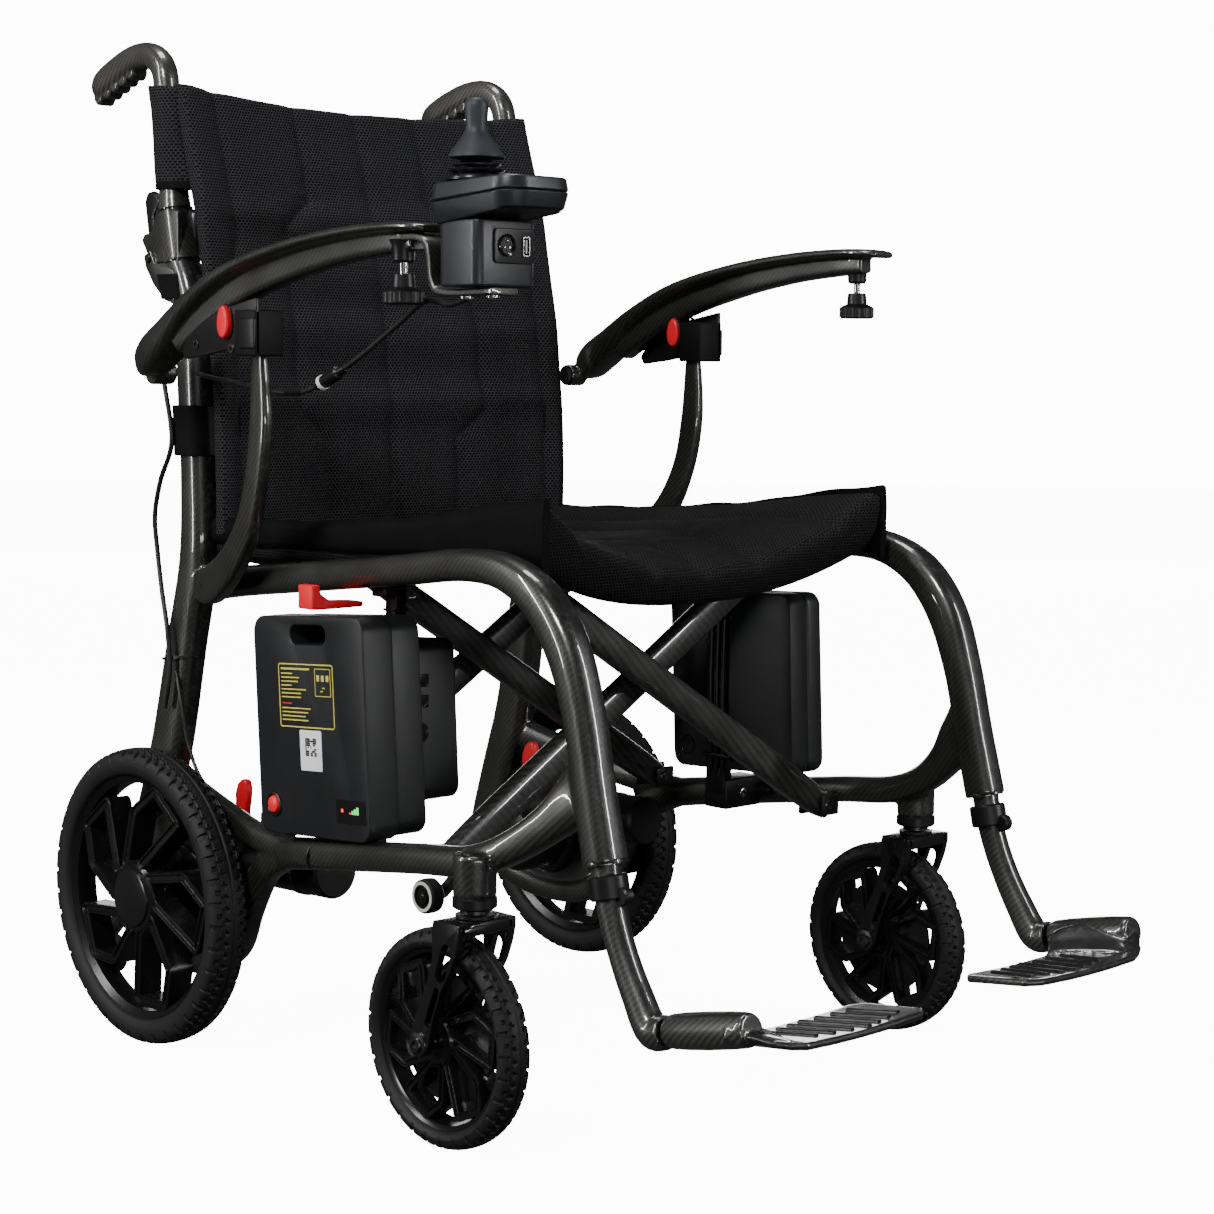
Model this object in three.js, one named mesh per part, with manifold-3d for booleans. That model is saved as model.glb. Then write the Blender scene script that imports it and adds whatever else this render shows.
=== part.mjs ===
// A folding power wheelchair, in millimetres, +Z up, the seat facing -Y, the user's left at +X.
// Everything is drawn in a frame whose Y origin is the rear axle; the last lines centre it.
import * as THREE from "three";
import { mergeVertices } from "three/addons/utils/BufferGeometryUtils.js";
import Module from "manifold-3d";

// Driving dimensions.
const REAR_WHEEL = { x: 298, y: 0, z: 150, radius: 150, halfWidth: 20 };
const CASTER_STEM = { x: 298, y: -507, headBottom: 221, headTop: 266 };
const CASTER_WHEEL = { x: 298, y: -470, z: 98, radius: 98, halfWidth: 16 };
const BRACE_PIVOT = { x: 234, z: 240 };
const SEAT_TUBE = { x: 216, z: 517, radius: 11, front: -505, back: -57 };
const BRACE_Y = { left: [-430, -190], right: [-400, -160] };
const BRACE_HALF_DEPTH = 10;
const BACK_HINGE = { y: 67.6, z: 792.8 };
const BACK_SPLIT = 788;
const BACK_LATCH = { y: 79, z: 815 };
const ARM_PIVOT = { y: -5, z: 677 };
const ARM_X = 297;
const ARM_KNOB = { x: 301, y: -413 };
const ARM_BUTTON = { y: -163, z: 725 };
const LEG_BOTTOM = { x: 257, y: -627, z: 271 };
const LEG_TILT = 0.222;
const FOOT_BARREL = { x: 261, back: [-710, 145.2], front: [-800, 164.4], radius: 14.5 };
const ANTI_TIP = { x: 224, y: 188, z: 45, radius: 21.5, halfWidth: 10 };
const BATTERY = { x: 256, y: -262, z: 349.5, halfX: 34, halfY: 84, halfZ: 103.5, lean: 0.065 };
const CONTROL_BOX = { x: 237, y: -324, z: 358, halfX: 25, halfY: 86, halfZ: 94, lean: 0.045 };
const DOCK = { x: 190, y: -268, z: 350, halfX: 30.5, halfY: 52, halfZ: 76, lean: 0.06 };
const JOYSTICK = { x: 297, y: -505, z: 842 };
const GAP = 0.4;

const wasm = await Module();
wasm.setup();

const chair = new THREE.Group();

const FINISH = {
  carbon: { color: 0x26261f, roughness: 0.22, metalness: 0.0 },
  blackPlastic: { color: 0x17181a, roughness: 0.5, metalness: 0.0 },
  controller: { color: 0x33353a, roughness: 0.45, metalness: 0.0 },
  softGrey: { color: 0x3a3d44, roughness: 0.7, metalness: 0.0 },
  red: { color: 0xe0222c, roughness: 0.4, metalness: 0.0 },
  tyre: { color: 0x151515, roughness: 0.9, metalness: 0.0 },
  rim: { color: 0x1b1b1b, roughness: 0.55, metalness: 0.0 },
  blackMetal: { color: 0x101010, roughness: 0.25, metalness: 0.6 },
  fabric: { color: 0x0c0d10, roughness: 0.95, metalness: 0.0 },
  cable: { color: 0x0e0e0e, roughness: 0.6, metalness: 0.0 },
};

// ---- Solids: three.js geometry in, manifold-3d solid out.

function toSolid(geometry) {
  const bare = geometry.clone();
  bare.deleteAttribute("normal");
  bare.deleteAttribute("uv");
  const merged = mergeVertices(bare, 1e-4);
  const solid = new wasm.Manifold(
    new wasm.Mesh({
      numProp: 3,
      vertProperties: new Float32Array(merged.attributes.position.array),
      triVerts: new Uint32Array(merged.index.array),
    }),
  );
  return solid;
}

function toGeometry(solid) {
  const mesh = solid.getMesh();
  const geometry = new THREE.BufferGeometry();
  geometry.setAttribute("position", new THREE.BufferAttribute(mesh.vertProperties, 3));
  geometry.setIndex(new THREE.BufferAttribute(mesh.triVerts, 1));
  return geometry;
}

function join(...solids) {
  return solids.reduce((sum, solid) => sum.add(solid));
}

function cut(solid, ...tools) {
  return tools.reduce((rest, tool) => rest.subtract(tool), solid);
}

function mirrorX(geometry) {
  const flipped = geometry.clone().applyMatrix4(new THREE.Matrix4().makeScale(-1, 1, 1));
  const index = Array.from(flipped.index.array);
  for (let i = 0; i < index.length; i += 3) {
    [index[i + 1], index[i + 2]] = [index[i + 2], index[i + 1]];
  }
  flipped.setIndex(index);
  return flipped;
}

// A closed skin through rings of stations [x, y, z, halfAcross, halfDeep] along a smooth curve.
function loft(stations, { across = new THREE.Vector3(1, 0, 0), sides = 8, steps = 2, power = 2 } = {}) {
  const curve = new THREE.CatmullRomCurve3(stations.map((s) => new THREE.Vector3(s[0], s[1], s[2])));
  const spans = stations.length - 1;
  const rings = spans * steps + 1;
  const position = [];
  for (let i = 0; i < rings; i++) {
    const t = i / (rings - 1);
    const centre = curve.getPoint(t);
    const tangent = curve.getTangent(t);
    const deep = new THREE.Vector3().crossVectors(tangent, across).normalize();
    const wide = new THREE.Vector3().crossVectors(deep, tangent).normalize();
    const at = Math.min(t * spans, spans - 1e-9);
    const [a, b] = [stations[Math.floor(at)], stations[Math.floor(at) + 1]];
    const halfAcross = THREE.MathUtils.lerp(a[3], b[3], at % 1);
    const halfDeep = THREE.MathUtils.lerp(a[4], b[4], at % 1);
    for (let k = 0; k < sides; k++) {
      const angle = (2 * Math.PI * (k + 0.5)) / sides;
      const u = Math.sign(Math.cos(angle)) * Math.abs(Math.cos(angle)) ** (2 / power);
      const v = Math.sign(Math.sin(angle)) * Math.abs(Math.sin(angle)) ** (2 / power);
      const point = centre.clone().addScaledVector(wide, u * halfAcross).addScaledVector(deep, v * halfDeep);
      position.push(...point.toArray());
    }
  }
  const index = [];
  for (let i = 0; i < rings - 1; i++) {
    for (let k = 0; k < sides; k++) {
      const next = (k + 1) % sides;
      const [p, q, r, s] = [i * sides + k, i * sides + next, (i + 1) * sides + next, (i + 1) * sides + k];
      index.push(p, r, q, p, s, r);
    }
  }
  for (let k = 1; k < sides - 1; k++) {
    index.push(0, k, k + 1);
    const last = (rings - 1) * sides;
    index.push(last, last + k + 1, last + k);
  }
  const geometry = new THREE.BufferGeometry();
  geometry.setAttribute("position", new THREE.Float32BufferAttribute(position, 3));
  geometry.setIndex(index);
  const solid = toSolid(geometry);
  if (solid.volume() > 0) {
    return solid;
  }
  geometry.setIndex(index.map((value, i) => index[i - (i % 3) + [0, 2, 1][i % 3]]));
  return toSolid(geometry);
}

// A cylinder between two points.
function rod(from, to, radius, sides = 16) {
  const [a, b] = [new THREE.Vector3(...from), new THREE.Vector3(...to)];
  const geometry = new THREE.CylinderGeometry(radius, radius, a.distanceTo(b), sides);
  const turn = new THREE.Quaternion().setFromUnitVectors(
    new THREE.Vector3(0, 1, 0),
    b.clone().sub(a).normalize(),
  );
  geometry.applyQuaternion(turn);
  geometry.translate(...a.add(b).multiplyScalar(0.5).toArray());
  return toSolid(geometry);
}

// A closed [radius, along] profile turned about the Y axis, faces outward whichever way it is listed.
function turned(profile, sides) {
  const points = profile.map(([radius, along]) => new THREE.Vector2(radius, along));
  if (THREE.ShapeUtils.area(points) < 0) {
    points.reverse();
  }
  return new THREE.LatheGeometry(points, sides);
}

// A profile turned about an axis parallel to X through (x, y, z).
function turnedX(profile, { x, y, z }, sides) {
  const geometry = turned(profile, sides);
  geometry.rotateZ(-Math.PI / 2);
  geometry.translate(x, y, z);
  return toSolid(geometry);
}

// The same about a vertical axis.
function turnedZ(profile, { x, y }, sides) {
  const geometry = turned(profile, sides);
  geometry.rotateX(Math.PI / 2);
  geometry.translate(x, y, 0);
  return toSolid(geometry);
}

// A flat plate: an outline of [y, z] points between two x values.
function plateYZ(outline, x0, x1) {
  const shape = new THREE.Shape(outline.map(([y, z]) => new THREE.Vector2(y, z)));
  const geometry = new THREE.ExtrudeGeometry(shape, { depth: x1 - x0, bevelEnabled: false });
  geometry.applyMatrix4(new THREE.Matrix4().set(0, 0, 1, x0, 1, 0, 0, 0, 0, 1, 0, 0, 0, 0, 0, 1));
  return toSolid(geometry);
}

function block([x0, x1], [y0, y1], [z0, z1]) {
  const geometry = new THREE.BoxGeometry(x1 - x0, y1 - y0, z1 - z0);
  geometry.translate((x0 + x1) / 2, (y0 + y1) / 2, (z0 + z1) / 2);
  return toSolid(geometry);
}

// A case with rounded upright corners seen from the side, leaning about X.
function caseBlock({ x, y, z, halfX, halfY, halfZ, lean }, corner = 14) {
  const shape = new THREE.Shape();
  const [w, h] = [halfY - corner, halfZ - corner];
  shape.absarc(w, h, corner, 0, Math.PI / 2);
  shape.absarc(-w, h, corner, Math.PI / 2, Math.PI);
  shape.absarc(-w, -h, corner, Math.PI, 1.5 * Math.PI);
  shape.absarc(w, -h, corner, 1.5 * Math.PI, 2 * Math.PI);
  const geometry = new THREE.ExtrudeGeometry(shape, {
    depth: 2 * halfX - 8,
    bevelSize: 4,
    bevelOffset: -4,
    bevelThickness: 4,
    bevelSegments: 1,
    curveSegments: 3,
  });
  geometry.translate(0, 0, 4 - halfX);
  geometry.applyMatrix4(new THREE.Matrix4().set(0, 0, 1, 0, 1, 0, 0, 0, 0, 1, 0, 0, 0, 0, 0, 1));
  geometry.rotateX(-lean);
  geometry.translate(x, y, z);
  return toSolid(geometry);
}

// ---- Placing: parts are drawn on the user's left (+X); the right one is its mirror image.

const SIDES = [
  { name: "right", sign: -1 },
  { name: "left", sign: 1 },
];

function add(name, solid, finish, sign = 1) {
  const geometry = toGeometry(solid);
  const mesh = new THREE.Mesh(
    sign < 0 ? mirrorX(geometry) : geometry,
    new THREE.MeshStandardMaterial(FINISH[finish]),
  );
  mesh.name = name;
  chair.add(mesh);
}

// ---- Side frame: seat rail and leg, lower rail, rear post, axle hoop, caster head, anti-tip arm.

const RAIL_AND_LEG = [
  [232, 0, 462, 14, 19],
  [233, -60, 469, 14, 16],
  [240, -200, 484, 14, 15],
  [249, -350, 500, 14, 14.5],
  [254, -450, 511, 15, 15],
  [255, -500, 507, 16, 16],
  [255, -543, 487, 17, 18],
  [255, -575, 450, 17, 19],
  [255, -597, 395, 17, 17],
  [256, -611, 335, 17, 17],
  [LEG_BOTTOM.x, LEG_BOTTOM.y, LEG_BOTTOM.z, 17.5, 17.5],
];
const LOWER_RAIL = [
  [255, -603, 358, 12, 14],
  [258, -592, 324, 13, 22],
  [268, -567, 297, 14, 17],
  [280, -530, 272, 15, 14.5],
  [285, -490, 257, 15.5, 14],
  [284, -420, 248, 15, 13.5],
  [277, -330, 236, 14.5, 14],
  [270, -231, 223, 13.5, 15.5],
  [265, -190, 217, 12, 16],
];
const AXLE_HOOP = [
  [266, -205, 219, 11, 14],
  [260, -152, 196, 12, 16],
  [257, -120, 152, 12, 15],
  [256, -98, 110, 12, 14],
  [256, -55, 86, 12, 13],
  [256, 0, 80, 12, 13],
  [253, 60, 90, 12, 14],
  [247, 100, 118, 12, 16],
];
const UPPER_BRANCH = [
  [266, -206, 221, 11, 13],
  [262, -145, 225, 11, 13],
  [254, -70, 238, 12, 14],
  [242, 40, 262, 12, 16],
];
const REAR_POST = [
  [230, 36, 800, 17, 19],
  [230, 15, 750, 17, 19],
  [230, 7, 650, 17, 19],
  [230, 3, 568, 17, 19],
  [231, 4, 487, 17, 21],
  [234, 22, 400, 16, 24],
  [238, 45, 292, 15, 26],
  [240, 75, 210, 14, 25],
  [242, 98, 150, 13, 23],
  [244, 116, 112, 10, 16],
];
const ANTI_TIP_ARM = [
  [243, 108, 130, 8, 12],
  [245, 140, 92, 8, 9],
  [246, 170, 62, 7, 8],
  [246, ANTI_TIP.y, ANTI_TIP.z, 7, 8],
];
const HINGE_LUG = [
  [22, 742],
  [46, 752],
  [73, 783],
  [76.5, 793],
  [68, 801.5],
  [59.5, 794],
  [57, 786.8],
  [38, 786.8],
  [22, 772],
];

function legBore() {
  const top = [LEG_BOTTOM.x, LEG_BOTTOM.y + 86 * LEG_TILT, LEG_BOTTOM.z + 86 * 0.975];
  const below = [LEG_BOTTOM.x, LEG_BOTTOM.y - 12 * LEG_TILT, LEG_BOTTOM.z - 12 * 0.975];
  return rod(top, below, 13.4, 12);
}

function braceLugs(barY) {
  const lugs = [];
  for (const y of barY) {
    for (const direction of [-1, 1]) {
      const inner = y + direction * (BRACE_HALF_DEPTH + 1);
      const outer = inner + direction * 5;
      const [y0, y1] = [Math.min(inner, outer), Math.max(inner, outer)];
      lugs.push(block([BRACE_PIVOT.x - 9, 270], [y0, y1], [BRACE_PIVOT.z - 11, BRACE_PIVOT.z + 9]));
    }
    const reach = BRACE_HALF_DEPTH + 2;
    const { x, z } = BRACE_PIVOT;
    lugs.push(rod([x, y - reach, z], [x, y + reach, z], 4, 10));
  }
  return lugs;
}

function sideFrame(barY) {
  const { x, y, headBottom, headTop } = CASTER_STEM;
  const axle = REAR_WHEEL;
  const motorPlate = cut(
    rod([250, axle.y, axle.z], [258, axle.y, axle.z], 80, 20),
    rod([249, axle.y, axle.z], [259, axle.y, axle.z], 50, 20),
  );
  const armPin = rod([236, ARM_PIVOT.y, ARM_PIVOT.z], [267.5, ARM_PIVOT.y, ARM_PIVOT.z], 8, 12);
  const rollerPin = rod(
    [ANTI_TIP.x - 11, ANTI_TIP.y, ANTI_TIP.z],
    [248, ANTI_TIP.y, ANTI_TIP.z],
    4,
    10,
  );
  const hingePin = rod([215, BACK_HINGE.y, BACK_HINGE.z], [245, BACK_HINGE.y, BACK_HINGE.z], 3, 10);
  const whole = join(
    loft(RAIL_AND_LEG, { sides: 10 }),
    loft(LOWER_RAIL),
    loft(AXLE_HOOP, { sides: 8, steps: 1 }),
    loft(UPPER_BRANCH, { sides: 8 }),
    loft(REAR_POST, { steps: 1 }),
    loft(ANTI_TIP_ARM, { sides: 8, steps: 1 }),
    rod([x, y, headBottom], [x, y, headTop], 18.5, 14),
    plateYZ(HINGE_LUG, 213, 221.5),
    plateYZ(HINGE_LUG, 238.5, 247),
    motorPlate,
    armPin,
    rollerPin,
    hingePin,
    ...braceLugs(barY),
  );
  const aboveSplit = block([200, 260], [-20, 57], [BACK_SPLIT - GAP, BACK_SPLIT + 30]);
  return cut(whole, legBore(), aboveSplit);
}

// ---- Arm support: the flat curved strap from the rail's rear end up to the armrest bracket.

const ARM_SUPPORT = [
  [291, -187, 708, 4, 7],
  [291, -187, 692, 5, 9],
  [290, -187, 632, 7, 13],
  [288, -176, 575, 8, 13],
  [282, -151, 525, 9, 14.5],
  [272, -104, 485, 10, 17],
  [263, -62, 467, 10, 19],
  [259, -40, 466, 9, 15],
];

function armSupport() {
  return loft(ARM_SUPPORT, { power: 3 });
}

// ---- Armrest: a long arched shell with a rounded heel at the back and a web below.

const ARM_TOP = [
  [296, -2, 679, 12, 10],
  [297, -14, 687, 19, 18],
  [297, -48, 707, 23, 18],
  [297, -95, 739, 25, 14],
  [297, -160, 768, 26, 11],
  [297, -250, 789, 26, 9],
  [297, -350, 801, 26, 7],
  [297, -430, 803, 24, 5.5],
  [297, -450, 801.5, 17, 4],
];
const ARM_WEB = [
  [ARM_X, -100, 722, 8, 12],
  [ARM_X, -160, 752, 9, 12],
  [ARM_X, -250, 774, 9, 11],
  [ARM_X, -350, 787, 9, 9],
  [ARM_X, -424, 790, 8, 10],
];

function armrest() {
  const boss = rod([268, ARM_PIVOT.y, ARM_PIVOT.z], [292, ARM_PIVOT.y, ARM_PIVOT.z], 12, 14);
  const clamp = rod([ARM_KNOB.x, ARM_KNOB.y, 776], [ARM_KNOB.x, ARM_KNOB.y, 792], 10, 12);
  const screw = rod([ARM_KNOB.x, ARM_KNOB.y, 740], [ARM_KNOB.x, ARM_KNOB.y, 780], 3.5, 10);
  return join(loft(ARM_TOP, { sides: 10, steps: 1, power: 2.4 }), loft(ARM_WEB, { steps: 1 }), boss, clamp, screw);
}

function capsuleYZ(radius, halfHeight, x0, x1) {
  const shape = new THREE.Shape();
  shape.absarc(0, halfHeight, radius, 0, Math.PI);
  shape.absarc(0, -halfHeight, radius, Math.PI, 2 * Math.PI);
  const geometry = new THREE.ExtrudeGeometry(shape, {
    depth: x1 - x0,
    bevelEnabled: false,
    curveSegments: 6,
  });
  geometry.applyMatrix4(
    new THREE.Matrix4().set(0, 0, 1, x0, 1, 0, 0, ARM_BUTTON.y, 0, 1, 0, ARM_BUTTON.z, 0, 0, 0, 1),
  );
  return toSolid(geometry);
}

function armBracket() {
  const body = plateYZ(
    [
      [-209, 693],
      [-166, 693],
      [-160, 700],
      [-92, 690],
      [-88, 700],
      [-97, 712],
      [-150, 736],
      [-209, 746],
    ],
    306.6,
    311,
  );
  const latch = block([279, 311], [-209, -172], [693, 735]);
  const slot = block([283.5, 298.5], [-200, -160], [690, 712]);
  return cut(join(body, latch), slot, capsuleYZ(7.8, 8, 306.9, 312));
}

function armKnob() {
  const disc = turnedZ(
    [
      [4.1, 738],
      [17, 738],
      [18, 741],
      [18, 749],
      [16, 752],
      [10, 753],
      [9, 764],
      [4.1, 764],
      [4.1, 738],
    ],
    ARM_KNOB,
    16,
  );
  return disc;
}

// ---- Controller on the right armrest: bent mount, case, pad, boot, stick and two keys.

const CONTROL_MOUNT = [
  [300, -430, 790, 14, 2],
  [300, -452, 788.5, 14, 2],
  [300, -462, 778, 14, 2],
  [300, -465, 760, 14, 2],
  [300, -472, 750.5, 14, 2],
  [300, -490, 748.5, 14, 2],
  [300, -545, 748.5, 14, 2],
];
const PAD_SIDE = [
  [-480, 804],
  [-479, 826],
  [-486, 835],
  [-530, 839],
  [-575, 840],
  [-588, 837],
  [-592, 827],
  [-588, 814],
  [-552, 805],
];
const KEY_Y = -560;
const KEYS = { power_key: 284, horn_key: 310 };

function controllerParts() {
  add("controller_mount", loft(CONTROL_MOUNT, { steps: 1, power: 6 }), "carbon", -1);
  const base = caseBlock(
    { x: ARM_X, y: -515, z: 777, halfX: 33, halfY: 31, halfZ: 26, lean: 0 },
    6,
  );
  add("controller_base", base, "controller", -1);
  let pad = plateYZ(PAD_SIDE, 258, 336);
  for (const x of Object.values(KEYS)) {
    pad = cut(pad, rod([x, KEY_Y, 835], [x, KEY_Y, 850], 6.8, 14));
  }
  const well = turnedZ([[0, 834], [16, 834], [16, 850], [0, 850]], JOYSTICK, 16);
  add("controller_pad", cut(pad, well), "controller", -1);
  for (const [name, x] of Object.entries(KEYS)) {
    add(name, rod([x, KEY_Y, 837.5], [x, KEY_Y, 842.5], 6, 14), "softGrey", -1);
  }
  const boot = turnedZ(
    [
      [18, 840.2],
      [25, 840.2],
      [24, 845],
      [19, 848],
      [21, 852],
      [17, 856],
      [10.5, 856],
      [10.5, 850],
      [18, 840.2],
    ],
    JOYSTICK,
    20,
  );
  add("joystick_boot", boot, "blackPlastic", -1);
  add("joystick_gimbal", rod([297, -505, 836], [297, -505, 855], 7, 12), "blackMetal", -1);
  const stick = turnedZ(
    [
      [0, 858],
      [24, 858],
      [24, 861],
      [14, 873],
      [9.5, 878],
      [10, 900],
      [7, 907],
      [0, 909],
    ],
    JOYSTICK,
    24,
  );
  add("joystick_knob", stick, "softGrey", -1);
}

// ---- Upper back: hinge housing, post and push handle in one moulding, and its release lever.

const UPPER_POST = [
  [230, 29, 778, 17.5, 18.5],
  [230, 36, 815, 17.5, 18.5],
  [230, 43, 841, 16, 17],
  [229, 48, 875, 13, 14],
  [229, 56, 960, 12.5, 13],
  [228, 64, 986, 12.5, 13],
  [227, 86, 1000, 12.5, 12.5],
  [226, 120, 998, 13, 13],
  [225, 155, 987, 14, 14],
  [224.5, 184, 975, 13, 14],
  [224.5, 192, 972, 9, 10],
];
const HINGE_TAB = [
  [42, 798],
  [42, 826],
  [62, 812],
  [74, 799],
  [76, 792.5],
  [68, 784.8],
  [60.5, 789.5],
];
const LATCH_LUG = [
  [46, 806],
  [46, 828],
  [72, 822],
  [84, 817],
  [84, 811],
  [78, 808],
];
const LATCH_LEVER = [
  [74, 812],
  [84, 811],
  [87, 820],
  [92, 852],
  [86, 861],
  [70, 860],
  [64, 852],
  [72, 842],
];

function upperPost() {
  const tab = cut(
    plateYZ(HINGE_TAB, 222.3, 237.7),
    rod([220, BACK_HINGE.y, BACK_HINGE.z], [240, BACK_HINGE.y, BACK_HINGE.z], 3.5, 12),
  );
  const latchPin = rod([220, BACK_LATCH.y, BACK_LATCH.z], [240, BACK_LATCH.y, BACK_LATCH.z], 2, 8);
  const belowSplit = block([200, 260], [-20, 56], [BACK_SPLIT - 30, BACK_SPLIT + GAP]);
  return join(
    cut(loft(UPPER_POST, { sides: 10, steps: 1 }), belowSplit),
    tab,
    plateYZ(LATCH_LUG, 219, 225.4),
    plateYZ(LATCH_LUG, 234.6, 241),
    latchPin,
  );
}

function latchLever() {
  return cut(
    plateYZ(LATCH_LEVER, 226, 234),
    rod([225, BACK_LATCH.y, BACK_LATCH.z], [235, BACK_LATCH.y, BACK_LATCH.z], 2.5, 10),
  );
}

// ---- Cross brace: two flat bars and the seat tube that they carry on the other side.

function seatTube(side) {
  const x = -side * SEAT_TUBE.x;
  return rod([x, SEAT_TUBE.front, SEAT_TUBE.z], [x, SEAT_TUBE.back, SEAT_TUBE.z], SEAT_TUBE.radius);
}

function braceBar(y) {
  const from = new THREE.Vector3(BRACE_PIVOT.x, y, BRACE_PIVOT.z);
  const to = new THREE.Vector3(-SEAT_TUBE.x, y, SEAT_TUBE.z);
  const end = from.clone().lerp(to, 1 - 10 / from.distanceTo(to));
  const across = new THREE.Vector3(0, 1, 0);
  const half = BRACE_HALF_DEPTH;
  const bar = loft(
    [
      [...from.toArray(), half, 13],
      [...from.clone().lerp(end, 0.3).toArray(), half, 15],
      [...from.clone().lerp(end, 0.7).toArray(), half, 15],
      [...end.toArray(), half, 10],
    ],
    { across, steps: 1, power: 5 },
  );
  const { x, z } = BRACE_PIVOT;
  const eye = rod([x, y - half, z], [x, y + half, z], 13, 16);
  const bore = rod([x, y - 20, z], [x, y + 20, z], 4.6, 10);
  const saddle = rod([-SEAT_TUBE.x, y - 30, SEAT_TUBE.z], [-SEAT_TUBE.x, y + 30, SEAT_TUBE.z], 11.5);
  return cut(join(bar, eye), bore, saddle);
}

// ---- Soft parts.

function seatSling() {
  const shape = new THREE.Shape();
  const sleeve = 15;
  const { x, z } = SEAT_TUBE;
  shape.moveTo(x, z + sleeve);
  shape.absarc(x, z, sleeve, Math.PI / 2, -Math.PI / 2, true);
  shape.quadraticCurveTo(0, z - sleeve - 46, -x, z - sleeve);
  shape.absarc(-x, z, sleeve, -Math.PI / 2, Math.PI / 2, true);
  shape.quadraticCurveTo(0, z + sleeve - 34, x, z + sleeve);
  for (const side of [-1, 1]) {
    const tunnel = new THREE.Path();
    tunnel.absarc(side * x, z, SEAT_TUBE.radius + 0.5, 0, 2 * Math.PI);
    shape.holes.push(tunnel);
  }
  const depth = 436;
  const geometry = new THREE.ExtrudeGeometry(shape, { depth, bevelEnabled: false, curveSegments: 8 });
  geometry.rotateX(Math.PI / 2);
  geometry.translate(0, -62, 0);
  const notches = [];
  for (const side of [-1, 1]) {
    for (const y of side > 0 ? BRACE_Y.right : BRACE_Y.left) {
      const [a, b] = side > 0 ? [x - 90, x + 20] : [-x - 20, -x + 90];
      notches.push(block([a, b], [y - 12, y + 12], [z - 60, z + 4]));
    }
  }
  return cut(toSolid(geometry), ...notches);
}

const BACK_HALF_WIDTH = 232;
const BACK_LOWER = [
  [0, -36, 540, BACK_HALF_WIDTH, 8],
  [0, -36, 600, BACK_HALF_WIDTH, 9],
  [0, -32, 680, BACK_HALF_WIDTH, 9],
  [0, -20, 750, BACK_HALF_WIDTH, 9],
  [0, -13, 787, BACK_HALF_WIDTH, 9],
];
const BACK_UPPER = [
  [0, -12, 791, BACK_HALF_WIDTH, 9],
  [0, 1, 850, BACK_HALF_WIDTH, 9],
  [0, 15, 905, BACK_HALF_WIDTH, 9],
  [0, 29, 962, BACK_HALF_WIDTH, 7],
];

// ---- Wheels.

function wheelSides(radius) {
  return Math.round(14 + radius / 10);
}

function tyre({ radius, halfWidth }, place) {
  const inner = radius * 0.82;
  const profile = [
    [inner, -0.75 * halfWidth],
    [inner + 4, -halfWidth],
    [radius - 8, -halfWidth],
    [radius, -0.4 * halfWidth],
    [radius, 0.4 * halfWidth],
    [radius - 8, halfWidth],
    [inner + 4, halfWidth],
    [inner, 0.75 * halfWidth],
    [inner, -0.75 * halfWidth],
  ];
  return turnedX(profile, place, wheelSides(radius));
}

function rim({ radius, halfWidth }, place, hubHalf, bore) {
  const outer = radius * 0.82 - GAP;
  const disc = [
    [bore, hubHalf],
    [radius * 0.22, hubHalf],
    [outer - 12, 0.6 * halfWidth],
    [outer, 0.8 * halfWidth],
    [outer, -0.8 * halfWidth],
    [outer - 12, 0],
    [radius * 0.24, hubHalf - 14],
    [radius * 0.22, -hubHalf],
    [bore, -hubHalf],
  ];
  if (bore > 0) {
    disc.push([bore, hubHalf]);
  }
  return turnedX(disc, place, wheelSides(radius));
}

function rearWheelParts({ name, sign }) {
  const place = { x: REAR_WHEEL.x, y: REAR_WHEEL.y, z: REAR_WHEEL.z };
  add(`${name}_rear_rim`, rim(REAR_WHEEL, place, 23, 0), "rim", sign);
  add(`${name}_rear_tyre`, tyre(REAR_WHEEL, place), "tyre", sign);
}

function casterParts({ name, sign }) {
  const { x, y, headBottom } = CASTER_STEM;
  const wheel = CASTER_WHEEL;
  const blade = (side) =>
    loft(
      [
        [x + side * 25, y, 203, 5, 15],
        [x + side * 29, y + 6, 178, 4, 14],
        [x + side * 29, y + 22, 132, 4, 11],
        [x + side * 29, wheel.y, wheel.z, 4, 12],
        [x + side * 29, wheel.y + 4, wheel.z - 10, 4, 7],
      ],
      { steps: 1, power: 4 },
    );
  const fork = join(
    block([x - 30, x + 30], [y - 17, y + 17], [199, 211]),
    rod([x, y, 205], [x, y, headBottom - 0.5], 12),
    blade(-1),
    blade(1),
    rod([x - 38, wheel.y, wheel.z], [x + 38, wheel.y, wheel.z], 5, 12),
  );
  add(`${name}_caster_fork`, fork, "blackMetal", sign);
  const place = { x: wheel.x, y: wheel.y, z: wheel.z };
  add(`${name}_caster_rim`, rim(wheel, place, 21, 5.5), "rim", sign);
  add(`${name}_caster_tyre`, tyre(wheel, place), "tyre", sign);
}

// ---- Drive unit behind each rear wheel, with its clutch lever.

const CLUTCH = { x: 198, y: -24, z: 216 };

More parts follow.
